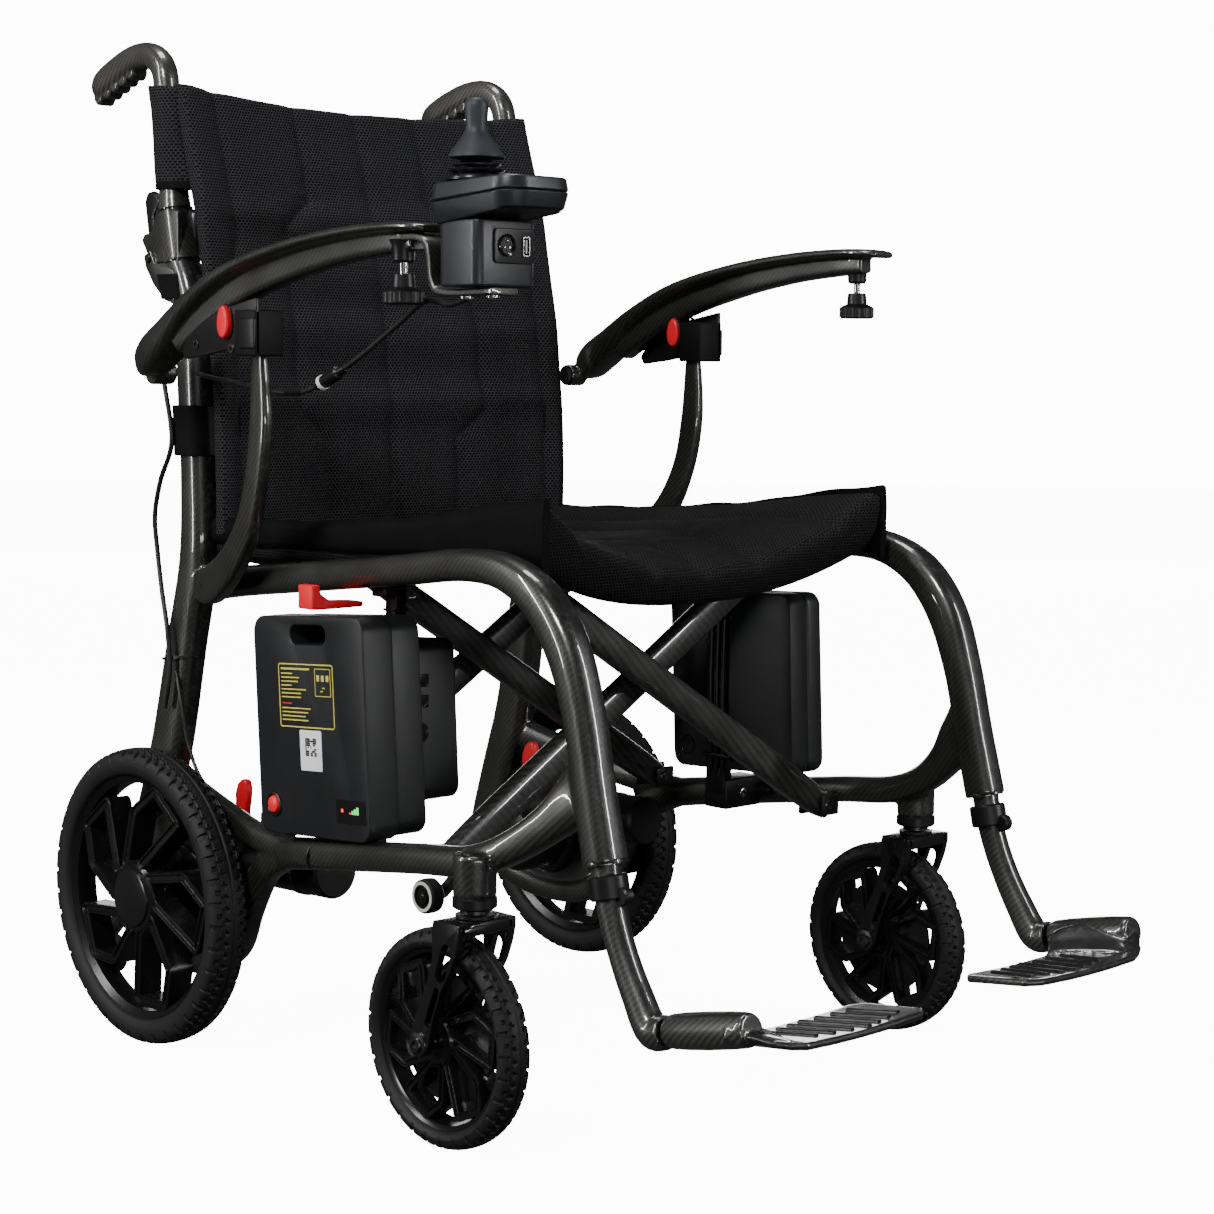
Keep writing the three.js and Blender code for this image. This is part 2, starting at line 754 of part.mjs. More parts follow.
function driveParts({ name, sign }) {
  const { y, z } = REAR_WHEEL;
  const neck = [
    [CLUTCH.x - 6, CLUTCH.x + 6],
    [CLUTCH.y - 10, CLUTCH.y + 10],
    [165, CLUTCH.z - 2],
  ];
  const drive = join(
    rod([238, y, z], [273.5, y, z], 48.4, 20),
    rod([190, y, z], [240, y, z], 41.7, 16),
    rod([212.4, -18, 186.3], [212.4, -200, 192], 26.3, 16),
    block(...neck),
  );
  add(`${name}_drive_motor`, drive, "blackMetal", sign);
  const lever = plateYZ(
    [
      [CLUTCH.y - 3, CLUTCH.z],
      [CLUTCH.y + 3, CLUTCH.z],
      [CLUTCH.y + 8, CLUTCH.z + 9],
      [CLUTCH.y + 9, CLUTCH.z + 30],
      [CLUTCH.y + 2, CLUTCH.z + 46],
      [CLUTCH.y - 10, CLUTCH.z + 46],
      [CLUTCH.y - 12, CLUTCH.z + 30],
      [CLUTCH.y - 8, CLUTCH.z + 9],
    ],
    CLUTCH.x - 5,
    CLUTCH.x + 5,
  );
  add(`${name}_clutch_lever`, lever, "red", sign);
}

// ---- Footrests.

function footrestPost() {
  const { x, y, z } = LEG_BOTTOM;
  const along = (d) => [x, y + d * LEG_TILT, z + d * 0.975];
  const tube = loft(
    [
      [...along(80), 12.5, 12.5],
      [...along(0), 12.5, 12.5],
      [258, -635, 238, 12.5, 12.5],
      [259, -649, 203, 12.5, 12.5],
      [260, -669, 168, 13, 13],
      [261, -688, 142, 13.5, 14],
      [261, -706, 144.2, 13.5, 14],
    ],
    { sides: 10 },
  );
  return join(tube, rod(along(-9), along(-30), 18.5, 20));
}

function footplate() {
  const { x, back, front, radius } = FOOT_BARREL;
  const barrel = rod([x, ...back], [x, ...front], radius, 16);
  const outline = new THREE.Shape();
  outline.moveTo(262, -812);
  outline.lineTo(240, -829);
  outline.lineTo(84, -829);
  outline.quadraticCurveTo(70, -829, 70, -815);
  outline.lineTo(70, -758);
  outline.quadraticCurveTo(70, -744, 84, -744);
  outline.lineTo(262, -744);
  const geometry = new THREE.ExtrudeGeometry(outline, { depth: 7, bevelEnabled: false, curveSegments: 5 });
  geometry.translate(0, 786, -3.5);
  geometry.rotateX(-0.12);
  geometry.translate(0, -786, 146);
  return join(barrel, toSolid(geometry));
}

// ---- Power supply: battery on its dock on the right, control box on the left.

function batteryParts() {
  const handHole = caseBlock({ ...BATTERY, z: BATTERY.z + 86, halfY: 27, halfZ: 9, halfX: 44 }, 8.5);
  const button = { x: BATTERY.x + BATTERY.halfX, y: -206, z: 270 };
  const pocket = rod([button.x - 5, button.y, button.z], [button.x + 5, button.y, button.z], 9, 14);
  add("battery", cut(caseBlock(BATTERY), handHole, pocket), "blackPlastic", -1);
  const key = rod([button.x - 1, button.y, button.z], [button.x + 4, button.y, button.z], 8.3, 14);
  add("battery_button", key, "red", -1);
  const dock = join(
    caseBlock(DOCK, 12),
    block([216, 224], [-282, -254], [225, 300]),
    block([216, 258], [-282, -254], [226, 238]),
    block([205, 219], [-300, -284], [400, 478]),
    block([205, 229], [-300, -284], [470, 478]),
  );
  add("battery_dock", cut(dock, caseBlock({ ...BATTERY, halfX: 34.6, halfY: 84.6, halfZ: 104.1 })), "blackPlastic", -1);
  const latch = join(
    block([232, 292], [-268, -246], [459, 465]),
    block([284, 292], [-268, -246], [459, 482]),
  );
  add("battery_latch", latch, "red", -1);
  const clamp = join(
    caseBlock(CONTROL_BOX, 10),
    block([214, 226], [-315, -289], [222, 285]),
    block([214, 258], [-315, -289], [222, 236]),
  );
  add("control_box", clamp, "blackPlastic");
}

// ---- Leads that the chair holds along their whole length.

const CONTROL_LEAD = [
  [288, -486, 742],
  [284, -456, 738],
  [276, -414, 742],
  [266, -362, 722],
  [262, -282, 684],
  [262, -214, 660],
  [262, -150, 662],
  [256, -95, 668],
  [250, -50, 672],
];
const MOTOR_LEAD = [
  [251, 34, 668],
  [252, 20, 606],
  [250, 44, 566],
  [249, 56, 530],
  [249, 52, 495],
  [252, 40, 455],
  [256, 24, 412],
  [257, 20, 373],
  [259, 26, 335],
];

function lead(points, radius) {
  const curve = new THREE.CatmullRomCurve3(points.map((p) => new THREE.Vector3(...p)));
  const ring = new THREE.Shape();
  ring.absarc(0, 0, radius, 0, 2 * Math.PI);
  const steps = Math.round(curve.getLength() / (6 * radius));
  const geometry = new THREE.ExtrudeGeometry(ring, {
    steps,
    extrudePath: curve,
    curveSegments: 4,
    bevelEnabled: false,
  });
  return toSolid(geometry);
}

// ---- The whole chair.

for (const side of SIDES) {
  const { name, sign } = side;
  add(`${name}_side_frame`, sideFrame(BRACE_Y[name]), "carbon", sign);
  add(`${name}_arm_support`, armSupport(), "carbon", sign);
  add(`${name}_armrest`, armrest(), "carbon", sign);
  add(`${name}_arm_bracket`, armBracket(), "blackPlastic", sign);
  add(`${name}_arm_button`, capsuleYZ(7, 8, 310.5, 318), "red", sign);
  add(`${name}_arm_knob`, armKnob(), "blackPlastic", sign);
  add(`${name}_back_post`, upperPost(), "carbon", sign);
  add(`${name}_back_latch`, latchLever(), "blackPlastic", sign);
  const [frontBar, rearBar] = BRACE_Y[name];
  add(`${name}_brace_front`, braceBar(frontBar), "carbon", sign);
  add(`${name}_brace_rear`, braceBar(rearBar), "carbon", sign);
  rearWheelParts(side);
  casterParts(side);
  driveParts(side);
  add(`${name}_footrest_post`, footrestPost(), "carbon", sign);
  add(`${name}_footplate`, footplate(), "carbon", sign);
  const roller = turnedX(
    [
      [4.7, -ANTI_TIP.halfWidth],
      [ANTI_TIP.radius, -ANTI_TIP.halfWidth],
      [ANTI_TIP.radius, ANTI_TIP.halfWidth],
      [4.7, ANTI_TIP.halfWidth],
      [4.7, -ANTI_TIP.halfWidth],
    ],
    { x: ANTI_TIP.x, y: ANTI_TIP.y, z: ANTI_TIP.z },
    24,
  );
  add(`${name}_anti_tip_roller`, roller, "tyre", sign);
}
add("right_seat_tube", seatTube(1), "blackMetal");
add("left_seat_tube", seatTube(-1), "blackMetal");
add("seat_sling", seatSling(), "fabric");
add("back_fabric_lower", loft(BACK_LOWER, { sides: 12, steps: 1, power: 8 }), "fabric");
add("back_fabric_upper", loft(BACK_UPPER, { sides: 12, steps: 1, power: 8 }), "fabric");
controllerParts();
batteryParts();
add("controller_lead", lead(CONTROL_LEAD, 2.6), "cable", -1);
add("motor_lead", lead(MOTOR_LEAD, 2.6), "cable", -1);

const CENTRE_Y = 309.8;
chair.position.y = CENTRE_Y;

export default chair;
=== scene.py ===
import math

import bmesh
import bpy
import numpy as np
from mathutils import Matrix, Vector


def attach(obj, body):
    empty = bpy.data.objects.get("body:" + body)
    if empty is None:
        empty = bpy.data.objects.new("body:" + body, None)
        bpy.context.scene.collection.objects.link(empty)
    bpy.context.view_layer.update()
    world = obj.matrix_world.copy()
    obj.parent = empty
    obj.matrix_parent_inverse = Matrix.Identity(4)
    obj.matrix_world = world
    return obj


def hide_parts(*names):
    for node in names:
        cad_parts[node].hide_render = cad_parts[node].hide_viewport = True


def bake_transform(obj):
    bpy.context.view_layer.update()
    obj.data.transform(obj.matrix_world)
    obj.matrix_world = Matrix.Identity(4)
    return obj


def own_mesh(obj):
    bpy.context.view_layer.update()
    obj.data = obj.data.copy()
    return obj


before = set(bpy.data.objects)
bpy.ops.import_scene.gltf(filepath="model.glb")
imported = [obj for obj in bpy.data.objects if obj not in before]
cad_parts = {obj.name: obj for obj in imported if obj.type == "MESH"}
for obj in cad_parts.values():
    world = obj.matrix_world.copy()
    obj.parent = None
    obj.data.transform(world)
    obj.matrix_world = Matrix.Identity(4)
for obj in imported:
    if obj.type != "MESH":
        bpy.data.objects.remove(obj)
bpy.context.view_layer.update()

# Shapes are drawn in millimetres with y = 0 at the rear axle; this shift puts them in the row frame.
CENTRE_Y = 309.8
SIDES = (("right", -1), ("left", 1))
REAR_WHEEL = dict(x=298, y=0, z=150, radius=150, half=20)
CASTER_WHEEL = dict(x=298, y=-470, z=98, radius=98, half=16)
STEM = (298, -507)
ROLLER = (224, 188, 45)
KNOB = (301, -413)
STICK = (297, -505)
ARM_BUTTON = (-163, 725)
POST_X = 230
SEAT_TUBE_X, SEAT_TUBE_Z = 216, 517
BARS = {"left": (-430, -190), "right": (-400, -160)}
rng = np.random.default_rng(7)


def row(p):
    return (p[0] * 0.001, (p[1] + CENTRE_Y) * 0.001, p[2] * 0.001)


def linked(name, data):
    obj = bpy.data.objects.new(name, data)
    bpy.context.scene.collection.objects.link(obj)
    return obj


# ---- Camera, light and world.


def camera_matrix(azimuth, pitch, roll, where):
    back = Vector(
        (math.sin(azimuth) * math.cos(pitch), -math.cos(azimuth) * math.cos(pitch), math.sin(pitch))
    )
    right0 = (-back).cross(Vector((0, 0, 1))).normalized()
    up0 = right0.cross(-back)
    right = right0 * math.cos(roll) + up0 * math.sin(roll)
    up = up0 * math.cos(roll) - right0 * math.sin(roll)
    turn = Matrix((right, up, back)).transposed().to_4x4()
    return Matrix.Translation(where) @ turn


def add_camera():
    data = bpy.data.cameras.new("camera")
    data.sensor_width = 36
    data.lens = 73.49
    data.clip_end = 60
    camera = linked("camera", data)
    camera.matrix_world = camera_matrix(
        math.radians(-43.696), math.radians(5.427), math.radians(0.463), (-1.6704, -1.7956, 0.6814)
    )
    bpy.context.scene.camera = camera


def add_light(name, where, target, size, power):
    data = bpy.data.lights.new(name, "AREA")
    data.shape = "RECTANGLE"
    data.size, data.size_y = size
    data.energy = power
    light = linked(name, data)
    light.location = where
    light.rotation_mode = "QUATERNION"
    light.rotation_quaternion = (Vector(target) - Vector(where)).to_track_quat("-Z", "Y")


def add_world(strength):
    world = bpy.data.worlds.new("studio")
    world.use_nodes = True
    tree = world.node_tree
    background = tree.nodes["Background"]
    background.inputs["Color"].default_value = (1, 1, 1, 1)
    background.inputs["Strength"].default_value = strength
    bpy.context.scene.world = world


# ---- Materials.


class Shader:
    """A material whose nodes are added by short calls."""

    def __init__(self, name, roughness=0.5, **sockets):
        self.material = bpy.data.materials.new(name)
        self.material.use_nodes = True
        self.tree = self.material.node_tree
        self.bsdf = self.tree.nodes["Principled BSDF"]
        self.set("Roughness", roughness)
        for socket, value in sockets.items():
            self.set(socket.replace("_", " "), value)
        coords = self.tree.nodes.new("ShaderNodeTexCoord")
        self.point = coords.outputs["Object"]
        self.normal = coords.outputs["Normal"]

    def set(self, socket, value):
        target = self.bsdf.inputs[socket]
        if isinstance(value, bpy.types.NodeSocket):
            self.tree.links.new(value, target)
        else:
            target.default_value = value

    def node(self, kind, inputs=(), **settings):
        made = self.tree.nodes.new(kind)
        for key, value in settings.items():
            setattr(made, key, value)
        for key, value in dict(inputs).items():
            if isinstance(value, bpy.types.NodeSocket):
                self.tree.links.new(value, made.inputs[key])
            else:
                made.inputs[key].default_value = value
        return made

    def math(self, operation, *values):
        return self.node("ShaderNodeMath", dict(enumerate(values)), operation=operation).outputs[0]

    def axes(self, vector):
        return self.node("ShaderNodeSeparateXYZ", {0: vector}).outputs

    def noise(self, scale, detail=4.0, roughness=0.55):
        return self.node(
            "ShaderNodeTexNoise", {
                "Vector": self.point, "Scale": scale, "Detail": detail, "Roughness": roughness,
            }
        ).outputs[0]

    def ramp(self, value, low, high, out_low=0.0, out_high=1.0):
        made = self.node("ShaderNodeMapRange", {0: value, 1: low, 2: high, 3: out_low, 4: out_high})
        return made.outputs[0]

    def mix(self, share, a, b):
        made = self.node("ShaderNodeMix", data_type="RGBA")
        for socket, value in ((0, share), (6, a), (7, b)):
            if isinstance(value, bpy.types.NodeSocket):
                self.tree.links.new(value, made.inputs[socket])
            else:
                made.inputs[socket].default_value = value if socket == 0 else (*value, 1)
        return made.outputs[2]

    def bump(self, height, depth, strength=1.0):
        made = self.node("ShaderNodeBump", {"Height": height, "Distance": depth, "Strength": strength})
        self.set("Normal", made.outputs[0])

    def flat_pair(self):
        """The two object axes that lie in the surface, by its normal."""
        nx, ny, nz = (self.math("ABSOLUTE", v) for v in self.axes(self.normal))
        px, py, pz = self.axes(self.point)
        on_x = self.math("GREATER_THAN", nx, self.math("MAXIMUM", ny, nz))
        on_y = self.math("GREATER_THAN", ny, nz)
        a = self.math("MULTIPLY_ADD", on_x, self.math("SUBTRACT", py, px), px)
        b0 = self.math("MULTIPLY_ADD", on_y, self.math("SUBTRACT", pz, py), py)
        b = self.math("MULTIPLY_ADD", on_x, self.math("SUBTRACT", pz, b0), b0)
        return a, b, nx


def carbon(name, bright=(0.029, 0.029, 0.022), speckle=1.0, tow=0.0016):
    s = Shader(name, 0.36, Coat_Weight=1.0, Coat_Roughness=0.025, Coat_IOR=1.5)
    a, b, nx = s.flat_pair()
    ua, ub = s.math("DIVIDE", a, tow), s.math("DIVIDE", b, tow)
    cells = s.math("ADD", s.math("FLOOR", ua), s.math("FLOOR", ub))
    warp = s.math("LESS_THAN", s.math("FLOORED_MODULO", cells, 4.0), 1.5)
    across = s.math("ABSOLUTE", s.math("SUBTRACT", s.math("FRACT", ua), 0.5))
    along = s.math("ABSOLUTE", s.math("SUBTRACT", s.math("FRACT", ub), 0.5))
    edge = s.math("MULTIPLY_ADD", warp, s.math("SUBTRACT", across, along), along)
    height = s.math("SUBTRACT", 1.0, s.math("MULTIPLY", s.math("MULTIPLY", edge, edge), 4.0))
    # Warp tows are painted brighter than weft tows: a painted sheen that stands for the fibres' glint,
    # which changes with the light's direction.
    weave = s.mix(warp, (0.30 * bright[0], 0.30 * bright[1], 0.30 * bright[2]), bright)
    weave = s.mix(s.ramp(height, 0.0, 0.6), (0.004, 0.004, 0.004), weave)
    weave = s.mix(s.ramp(s.noise(9.0), 0.35, 0.7, 0.0, 0.55), weave, (0.006, 0.006, 0.006))
    fleck = s.node("ShaderNodeTexVoronoi", {"Vector": s.point, "Scale": 420.0, "Randomness": 1.0})
    shade = s.axes(fleck.outputs["Color"])[0]
    cloud = s.ramp(s.noise(60.0, 6.0, 0.7), 0.42, 0.68)
    marble = s.math("MULTIPLY", s.ramp(shade, 0.35, 1.0), cloud)
    forged = s.mix(marble, (0.004, 0.004, 0.004), (0.05, 0.05, 0.046))
    share = s.ramp(nx, 0.45, 0.75, speckle, 0.0)
    s.set("Base Color", s.mix(share, weave, forged))
    s.bump(height, 0.00006, 0.5)
    s.set("Roughness", s.ramp(s.noise(25.0), 0.3, 0.7, 0.30, 0.42))
    return s.material


def plastic(name, colour, roughness=0.5, grain=0.00003, scale=900.0, coat=0.0, shine=0.3):
    s = Shader(name, roughness, Coat_Weight=coat, Coat_Roughness=0.05, Specular_IOR_Level=shine)
    tint = s.ramp(s.noise(14.0), 0.3, 0.7)
    s.set("Base Color", s.mix(tint, tuple(0.85 * c for c in colour), tuple(1.12 * c for c in colour)))
    s.set("Roughness", s.ramp(s.noise(30.0), 0.3, 0.7, roughness * 0.92, roughness * 1.08))
    s.bump(s.noise(scale, 3.0), grain)
    return s.material


def metal(name, colour, roughness):
    s = Shader(name, roughness, Metallic=1.0)
    s.set("Base Color", s.mix(s.ramp(s.noise(40.0), 0.3, 0.7), tuple(0.8 * c for c in colour), colour))
    s.set("Roughness", s.ramp(s.noise(220.0), 0.3, 0.7, roughness * 0.8, roughness * 1.2))
    s.bump(s.noise(500.0), 0.00002)
    return s.material


def spacer_mesh(name, cell=(0.0038, 0.0029), thread=(0.034, 0.034, 0.038), hole=(0.0001, 0.0001, 0.0001)):
    s = Shader(name, 0.72, Sheen_Weight=0.0, Specular_IOR_Level=0.10)
    a, b, _ = s.flat_pair()
    v = s.math("DIVIDE", b, cell[1])
    line = s.math("FLOOR", v)
    stagger = s.math("MULTIPLY", s.math("FLOORED_MODULO", line, 2.0), 0.5)
    u = s.math("ADD", s.math("DIVIDE", a, cell[0]), stagger)
    du = s.math("MULTIPLY", s.math("SUBTRACT", s.math("FRACT", u), 0.5), 2.15)
    dv = s.math("MULTIPLY", s.math("SUBTRACT", s.math("FRACT", v), 0.5), 1.95)
    reach = s.math("SQRT", s.math("ADD", s.math("MULTIPLY", du, du), s.math("MULTIPLY", dv, dv)))
    height = s.ramp(reach, 0.74, 0.98)
    # The threads keep the fabric's own dark colour; the holes are painted near-black, painted shade inside
    # the mesh's openings.
    s.set("Base Color", s.mix(height, hole, thread))
    s.bump(height, 0.0006)
    return s.material


def smooth_cloth(name, colour, roughness=0.6, sheen=0.04):
    s = Shader(name, roughness, Sheen_Weight=sheen, Sheen_Roughness=0.4, Specular_IOR_Level=0.06)
    a, b, _ = s.flat_pair()
    rib = s.math("SINE", s.math("MULTIPLY", s.math("ADD", a, b), 5200.0))
    cross = s.math("SINE", s.math("MULTIPLY", s.math("SUBTRACT", a, b), 5200.0))
    weave = s.math("MULTIPLY", rib, cross)
    s.set("Base Color", s.mix(s.ramp(s.noise(35.0), 0.3, 0.7), colour, tuple(1.6 * c for c in colour)))
    s.bump(weave, 0.00003)
    return s.material


def lamp(name, colour, strength):
    s = Shader(name, 0.3)
    s.set("Base Color", (*colour, 1))
    s.set("Emission Color", (*colour, 1))
    s.set("Emission Strength", s.ramp(s.noise(300.0), 0.2, 0.8, strength * 0.8, strength))
    return s.material


CARBON = carbon("carbon_frame")
CARBON_BRACE = carbon("carbon_brace", (0.055, 0.055, 0.050), 0.35, 0.0026)
CARBON_ARM = carbon("carbon_arm", (0.026, 0.026, 0.021), 0.25)
CARBON_HANDLE = carbon("carbon_handle", (0.085, 0.083, 0.068), 0.6)
CARBON_FOOT = carbon("carbon_foot", (0.055, 0.055, 0.048), 1.0)
BLACK = plastic("black_plastic", (0.006, 0.006, 0.0065), 0.36)
BLACK_GLOSS = plastic("black_gloss", (0.006, 0.006, 0.006), 0.2, 0.00001, coat=0.8)
CASE = plastic("case_plastic", (0.0085, 0.009, 0.010), 0.42, 0.00003, 1400.0)
CONTROL = plastic("control_plastic", (0.016, 0.017, 0.020), 0.34, 0.00005, 1600.0)
SOFT_GREY = plastic("soft_grey", (0.022, 0.024, 0.030), 0.5, 0.00005, 1200.0)
RUBBER = plastic("tyre_rubber", (0.006, 0.006, 0.006), 0.6, 0.00012, 700.0)
BOOT = plastic("boot_rubber", (0.008, 0.008, 0.01), 0.28, 0.00002)
RIM = plastic("rim_plastic", (0.005, 0.005, 0.005), 0.27, 0.00004, 1000.0, shine=0.42)
CAP = plastic("cap_plastic", (0.010, 0.010, 0.010), 0.22, 0.00001)
BRACKET = plastic("bracket_plastic", (0.004, 0.004, 0.0045), 0.55, 0.00003, 1200.0, shine=0.12)
PAINT = plastic("black_paint", (0.006, 0.006, 0.006), 0.25, 0.00002, coat=1.0)
RED = plastic("red_plastic", (0.72, 0.012, 0.022), 0.32, 0.00002)
WHITE = plastic("white_plastic", (0.72, 0.70, 0.64), 0.4, 0.00002)
PAPER = plastic("sticker", (0.75, 0.75, 0.75), 0.5, 0.00001)
YELLOW = plastic("label_print", (0.62, 0.55, 0.08), 0.5, 0.00001)
STEEL = metal("steel", (0.62, 0.62, 0.62), 0.22)
DARK_STEEL = metal("dark_steel", (0.10, 0.10, 0.10), 0.3)
MESH = spacer_mesh("spacer_mesh")
# The seat's copy of the spacer mesh has thread half as bright as the back's: painted shade that offsets the
# extra light the upward-facing seat gets.
SHADED_SEAT_MESH = spacer_mesh("seat_mesh_painted_shade", thread=(0.017, 0.017, 0.019))
BAND = smooth_cloth("seat_band", (0.0016, 0.0016, 0.0017), 0.6, 0.0)
STRAP = smooth_cloth("strap_cloth", (0.004, 0.004, 0.004), 0.8, 0.0)
CABLE = plastic("cable_sheath", (0.012, 0.012, 0.012), 0.42, 0.00003)
GREEN_LAMP = lamp("green_lamp", (0.05, 0.8, 0.15), 1.2)
RED_LAMP = lamp("red_lamp", (0.9, 0.04, 0.04), 1.2)

# ---- Shapes: (vertices, faces) in millimetres.


def spline(points, steps):
    """Points along a centripetal curve through the given ones; columns past the third ride along."""
    p = np.array(points, float)
    p = np.vstack([2 * p[0] - p[1], p, 2 * p[-1] - p[-2]])
    made = []
    for i in range(1, len(p) - 2):
        p0, p1, p2, p3 = p[i - 1 : i + 3]
        gaps = [max(np.linalg.norm((b - a)[:3]) ** 0.5, 1e-6) for a, b in ((p0, p1), (p1, p2), (p2, p3))]
        t0, t1 = 0.0, gaps[0]
        t2, t3 = t1 + gaps[1], t1 + gaps[1] + gaps[2]
        for k in range(steps):
            t = t1 + (t2 - t1) * k / steps
            a1 = (t1 - t) / (t1 - t0) * p0 + (t - t0) / (t1 - t0) * p1
            a2 = (t2 - t) / (t2 - t1) * p1 + (t - t1) / (t2 - t1) * p2
            a3 = (t3 - t) / (t3 - t2) * p2 + (t - t2) / (t3 - t2) * p3
            b1 = (t2 - t) / (t2 - t0) * a1 + (t - t0) / (t2 - t0) * a2
            b2 = (t3 - t) / (t3 - t1) * a2 + (t - t1) / (t3 - t1) * a3
            made.append((t2 - t) / (t2 - t1) * b1 + (t - t1) / (t2 - t1) * b2)
    made.append(p[-2])
    return np.array(made)


def skin(rings, closed=False, capped=True):
    """Faces over rings of equal size, an array rings x sides x 3."""
    rings = np.asarray(rings, float)
    count, sides = rings.shape[:2]
    faces = []
    for i in range(count if closed else count - 1):
        j = (i + 1) % count
        for k in range(sides):
            n = (k + 1) % sides
            faces.append((i * sides + k, i * sides + n, j * sides + n, j * sides + k))
    if capped and not closed:
        faces.append(tuple(range(sides)))
        faces.append(tuple(range((count - 1) * sides, count * sides)))
    return rings.reshape(-1, 3), faces


def unit(v):
    return v / np.maximum(np.linalg.norm(v, axis=-1, keepdims=True), 1e-12)


def loft(stations, sides=28, steps=7, power=2.6, across=(1, 0, 0)):
    """A skin along stations [x, y, z, half across, half deep]."""
    s = spline(stations, steps)
    centre, half_a, half_d = s[:, :3], s[:, 3], s[:, 4]
    tangent = unit(np.gradient(centre, axis=0))
    deep = unit(np.cross(tangent, across))
    wide = unit(np.cross(deep, tangent))
    angle = 2 * np.pi * (np.arange(sides) + 0.5) / sides
    u = np.sign(np.cos(angle)) * np.abs(np.cos(angle)) ** (2 / power)
    v = np.sign(np.sin(angle)) * np.abs(np.sin(angle)) ** (2 / power)
    across_part = wide[:, None] * (half_a[:, None] * u)[..., None]
    deep_part = deep[:, None] * (half_d[:, None] * v)[..., None]
    return skin(centre[:, None] + across_part + deep_part)


def sweep(points, section, closed=False, up=(1, 0, 0)):
    """A section of (sideways, up) points carried along a path."""
    path = np.asarray(points, float)
    if closed:
        tangent = unit(np.roll(path, -1, 0) - np.roll(path, 1, 0))
    else:
        tangent = unit(np.gradient(path, axis=0))
    side = unit(np.cross(tangent, up))
    top = unit(np.cross(side, tangent))
    rings = np.stack([path + side * a + top * b for a, b in section], 1)
    return skin(rings, closed)


def tube(points, radius, steps=8, sides=14, up=(1, 0, 0)):
    angles = [2 * math.pi * k / sides for k in range(sides)]
    ring = [(radius * math.cos(angle), radius * math.sin(angle)) for angle in angles]
    return sweep(spline(points, steps), ring, up=up)


def basis(axis):
    axis = unit(np.array(axis, float))
    helper = np.array([0, 0, 1.0]) if abs(axis[2]) < 0.9 else np.array([1.0, 0, 0])
    a = unit(np.cross(helper, axis))
    return axis, a, np.cross(axis, a)


def lathe(profile, centre, axis=(1, 0, 0), sides=48, closed=False):
    """A profile of (radius, along) turned about an axis through centre."""
    axis, a, b = basis(axis)
    angle = 2 * np.pi * np.arange(sides) / sides
    spokes = np.cos(angle)[:, None] * a + np.sin(angle)[:, None] * b
    rings = np.stack([np.array(centre, float) + axis * t + spokes * r for r, t in profile])
    return skin(rings, closed, capped=False)


def rod(start, end, radius, sides=32, chamfer=0.0):
    start, end = np.array(start, float), np.array(end, float)
    length = np.linalg.norm(end - start)
    c = min(chamfer, radius * 0.9)
    profile = [
        (0, 0), (radius - c, 0), (radius, c), (radius, length - c), (radius - c, length), (0, length),
    ]
    return lathe(profile, start, end - start, sides)


def prism(outline, axis, low, high):
    """An outline of two coordinates, extruded along x, y or z."""
    spots = {"x": (1, 2, 0), "y": (0, 2, 1), "z": (0, 1, 2)}[axis]
    rings = np.zeros((2, len(outline), 3))
    for i, level in enumerate((low, high)):
        rings[i, :, spots[0]] = [p[0] for p in outline]
        rings[i, :, spots[1]] = [p[1] for p in outline]
        rings[i, :, spots[2]] = level
    return skin(rings)


def box(x, y, z):
    return prism([(x[0], y[0]), (x[1], y[0]), (x[1], y[1]), (x[0], y[1])], "z", *z)


def rounded(half_a, half_b, corner, steps=6):
    """An outline of a rectangle with round corners."""
    made = []
    for sa, sb, start in ((1, 1, 0), (-1, 1, 90), (-1, -1, 180), (1, -1, 270)):
        for k in range(steps + 1):
            angle = math.radians(start + 90 * k / steps)
            a, b = sa * (half_a - corner), sb * (half_b - corner)
            made.append((a + corner * math.cos(angle), b + corner * math.sin(angle)))
    return made


def case(x, y, z, half, corner, lean=0.0):
    """A case lying in YZ with round corners, leaning about X."""
    verts, faces = prism(rounded(half[1], half[2], corner), "x", -half[0], half[0])
    return moved(turned(verts, lean), (x, y, z)), faces


def turned(verts, lean):
    c, s = math.cos(-lean), math.sin(-lean)
    out = np.array(verts, float)
    out[:, 1], out[:, 2] = verts[:, 1] * c - verts[:, 2] * s, verts[:, 1] * s + verts[:, 2] * c
    return out


def moved(verts, by):
    return np.asarray(verts) + np.array(by, float)


def merged(*shapes):
    verts, faces, start = [], [], 0
    for v, f in shapes:
        verts.append(np.asarray(v))
        faces += [tuple(i + start for i in face) for face in f]
        start += len(v)
    return np.vstack(verts), faces


def screw(centre, axis, radius, rise=1.4):
    """A socket-head screw seen from outside."""
    floor, half = rise - 2.2, radius * 0.5
    profile = [
        (0, floor), (half, floor), (half, rise), (radius * 0.85, rise), (radius, rise - 0.5), (radius, -1.5)
    ]
    return lathe(profile, centre, axis, 24)


# ---- Objects.


def bake(obj):
    graph = bpy.context.evaluated_depsgraph_get()
    mesh = bpy.data.meshes.new_from_object(obj.evaluated_get(graph))
    obj.modifiers.clear()
    obj.data = mesh
    return obj


def shade(obj, angle=35):
    obj.data.shade_smooth()
    if angle:
        obj.data.set_sharp_from_angle(angle=math.radians(angle))
    return obj


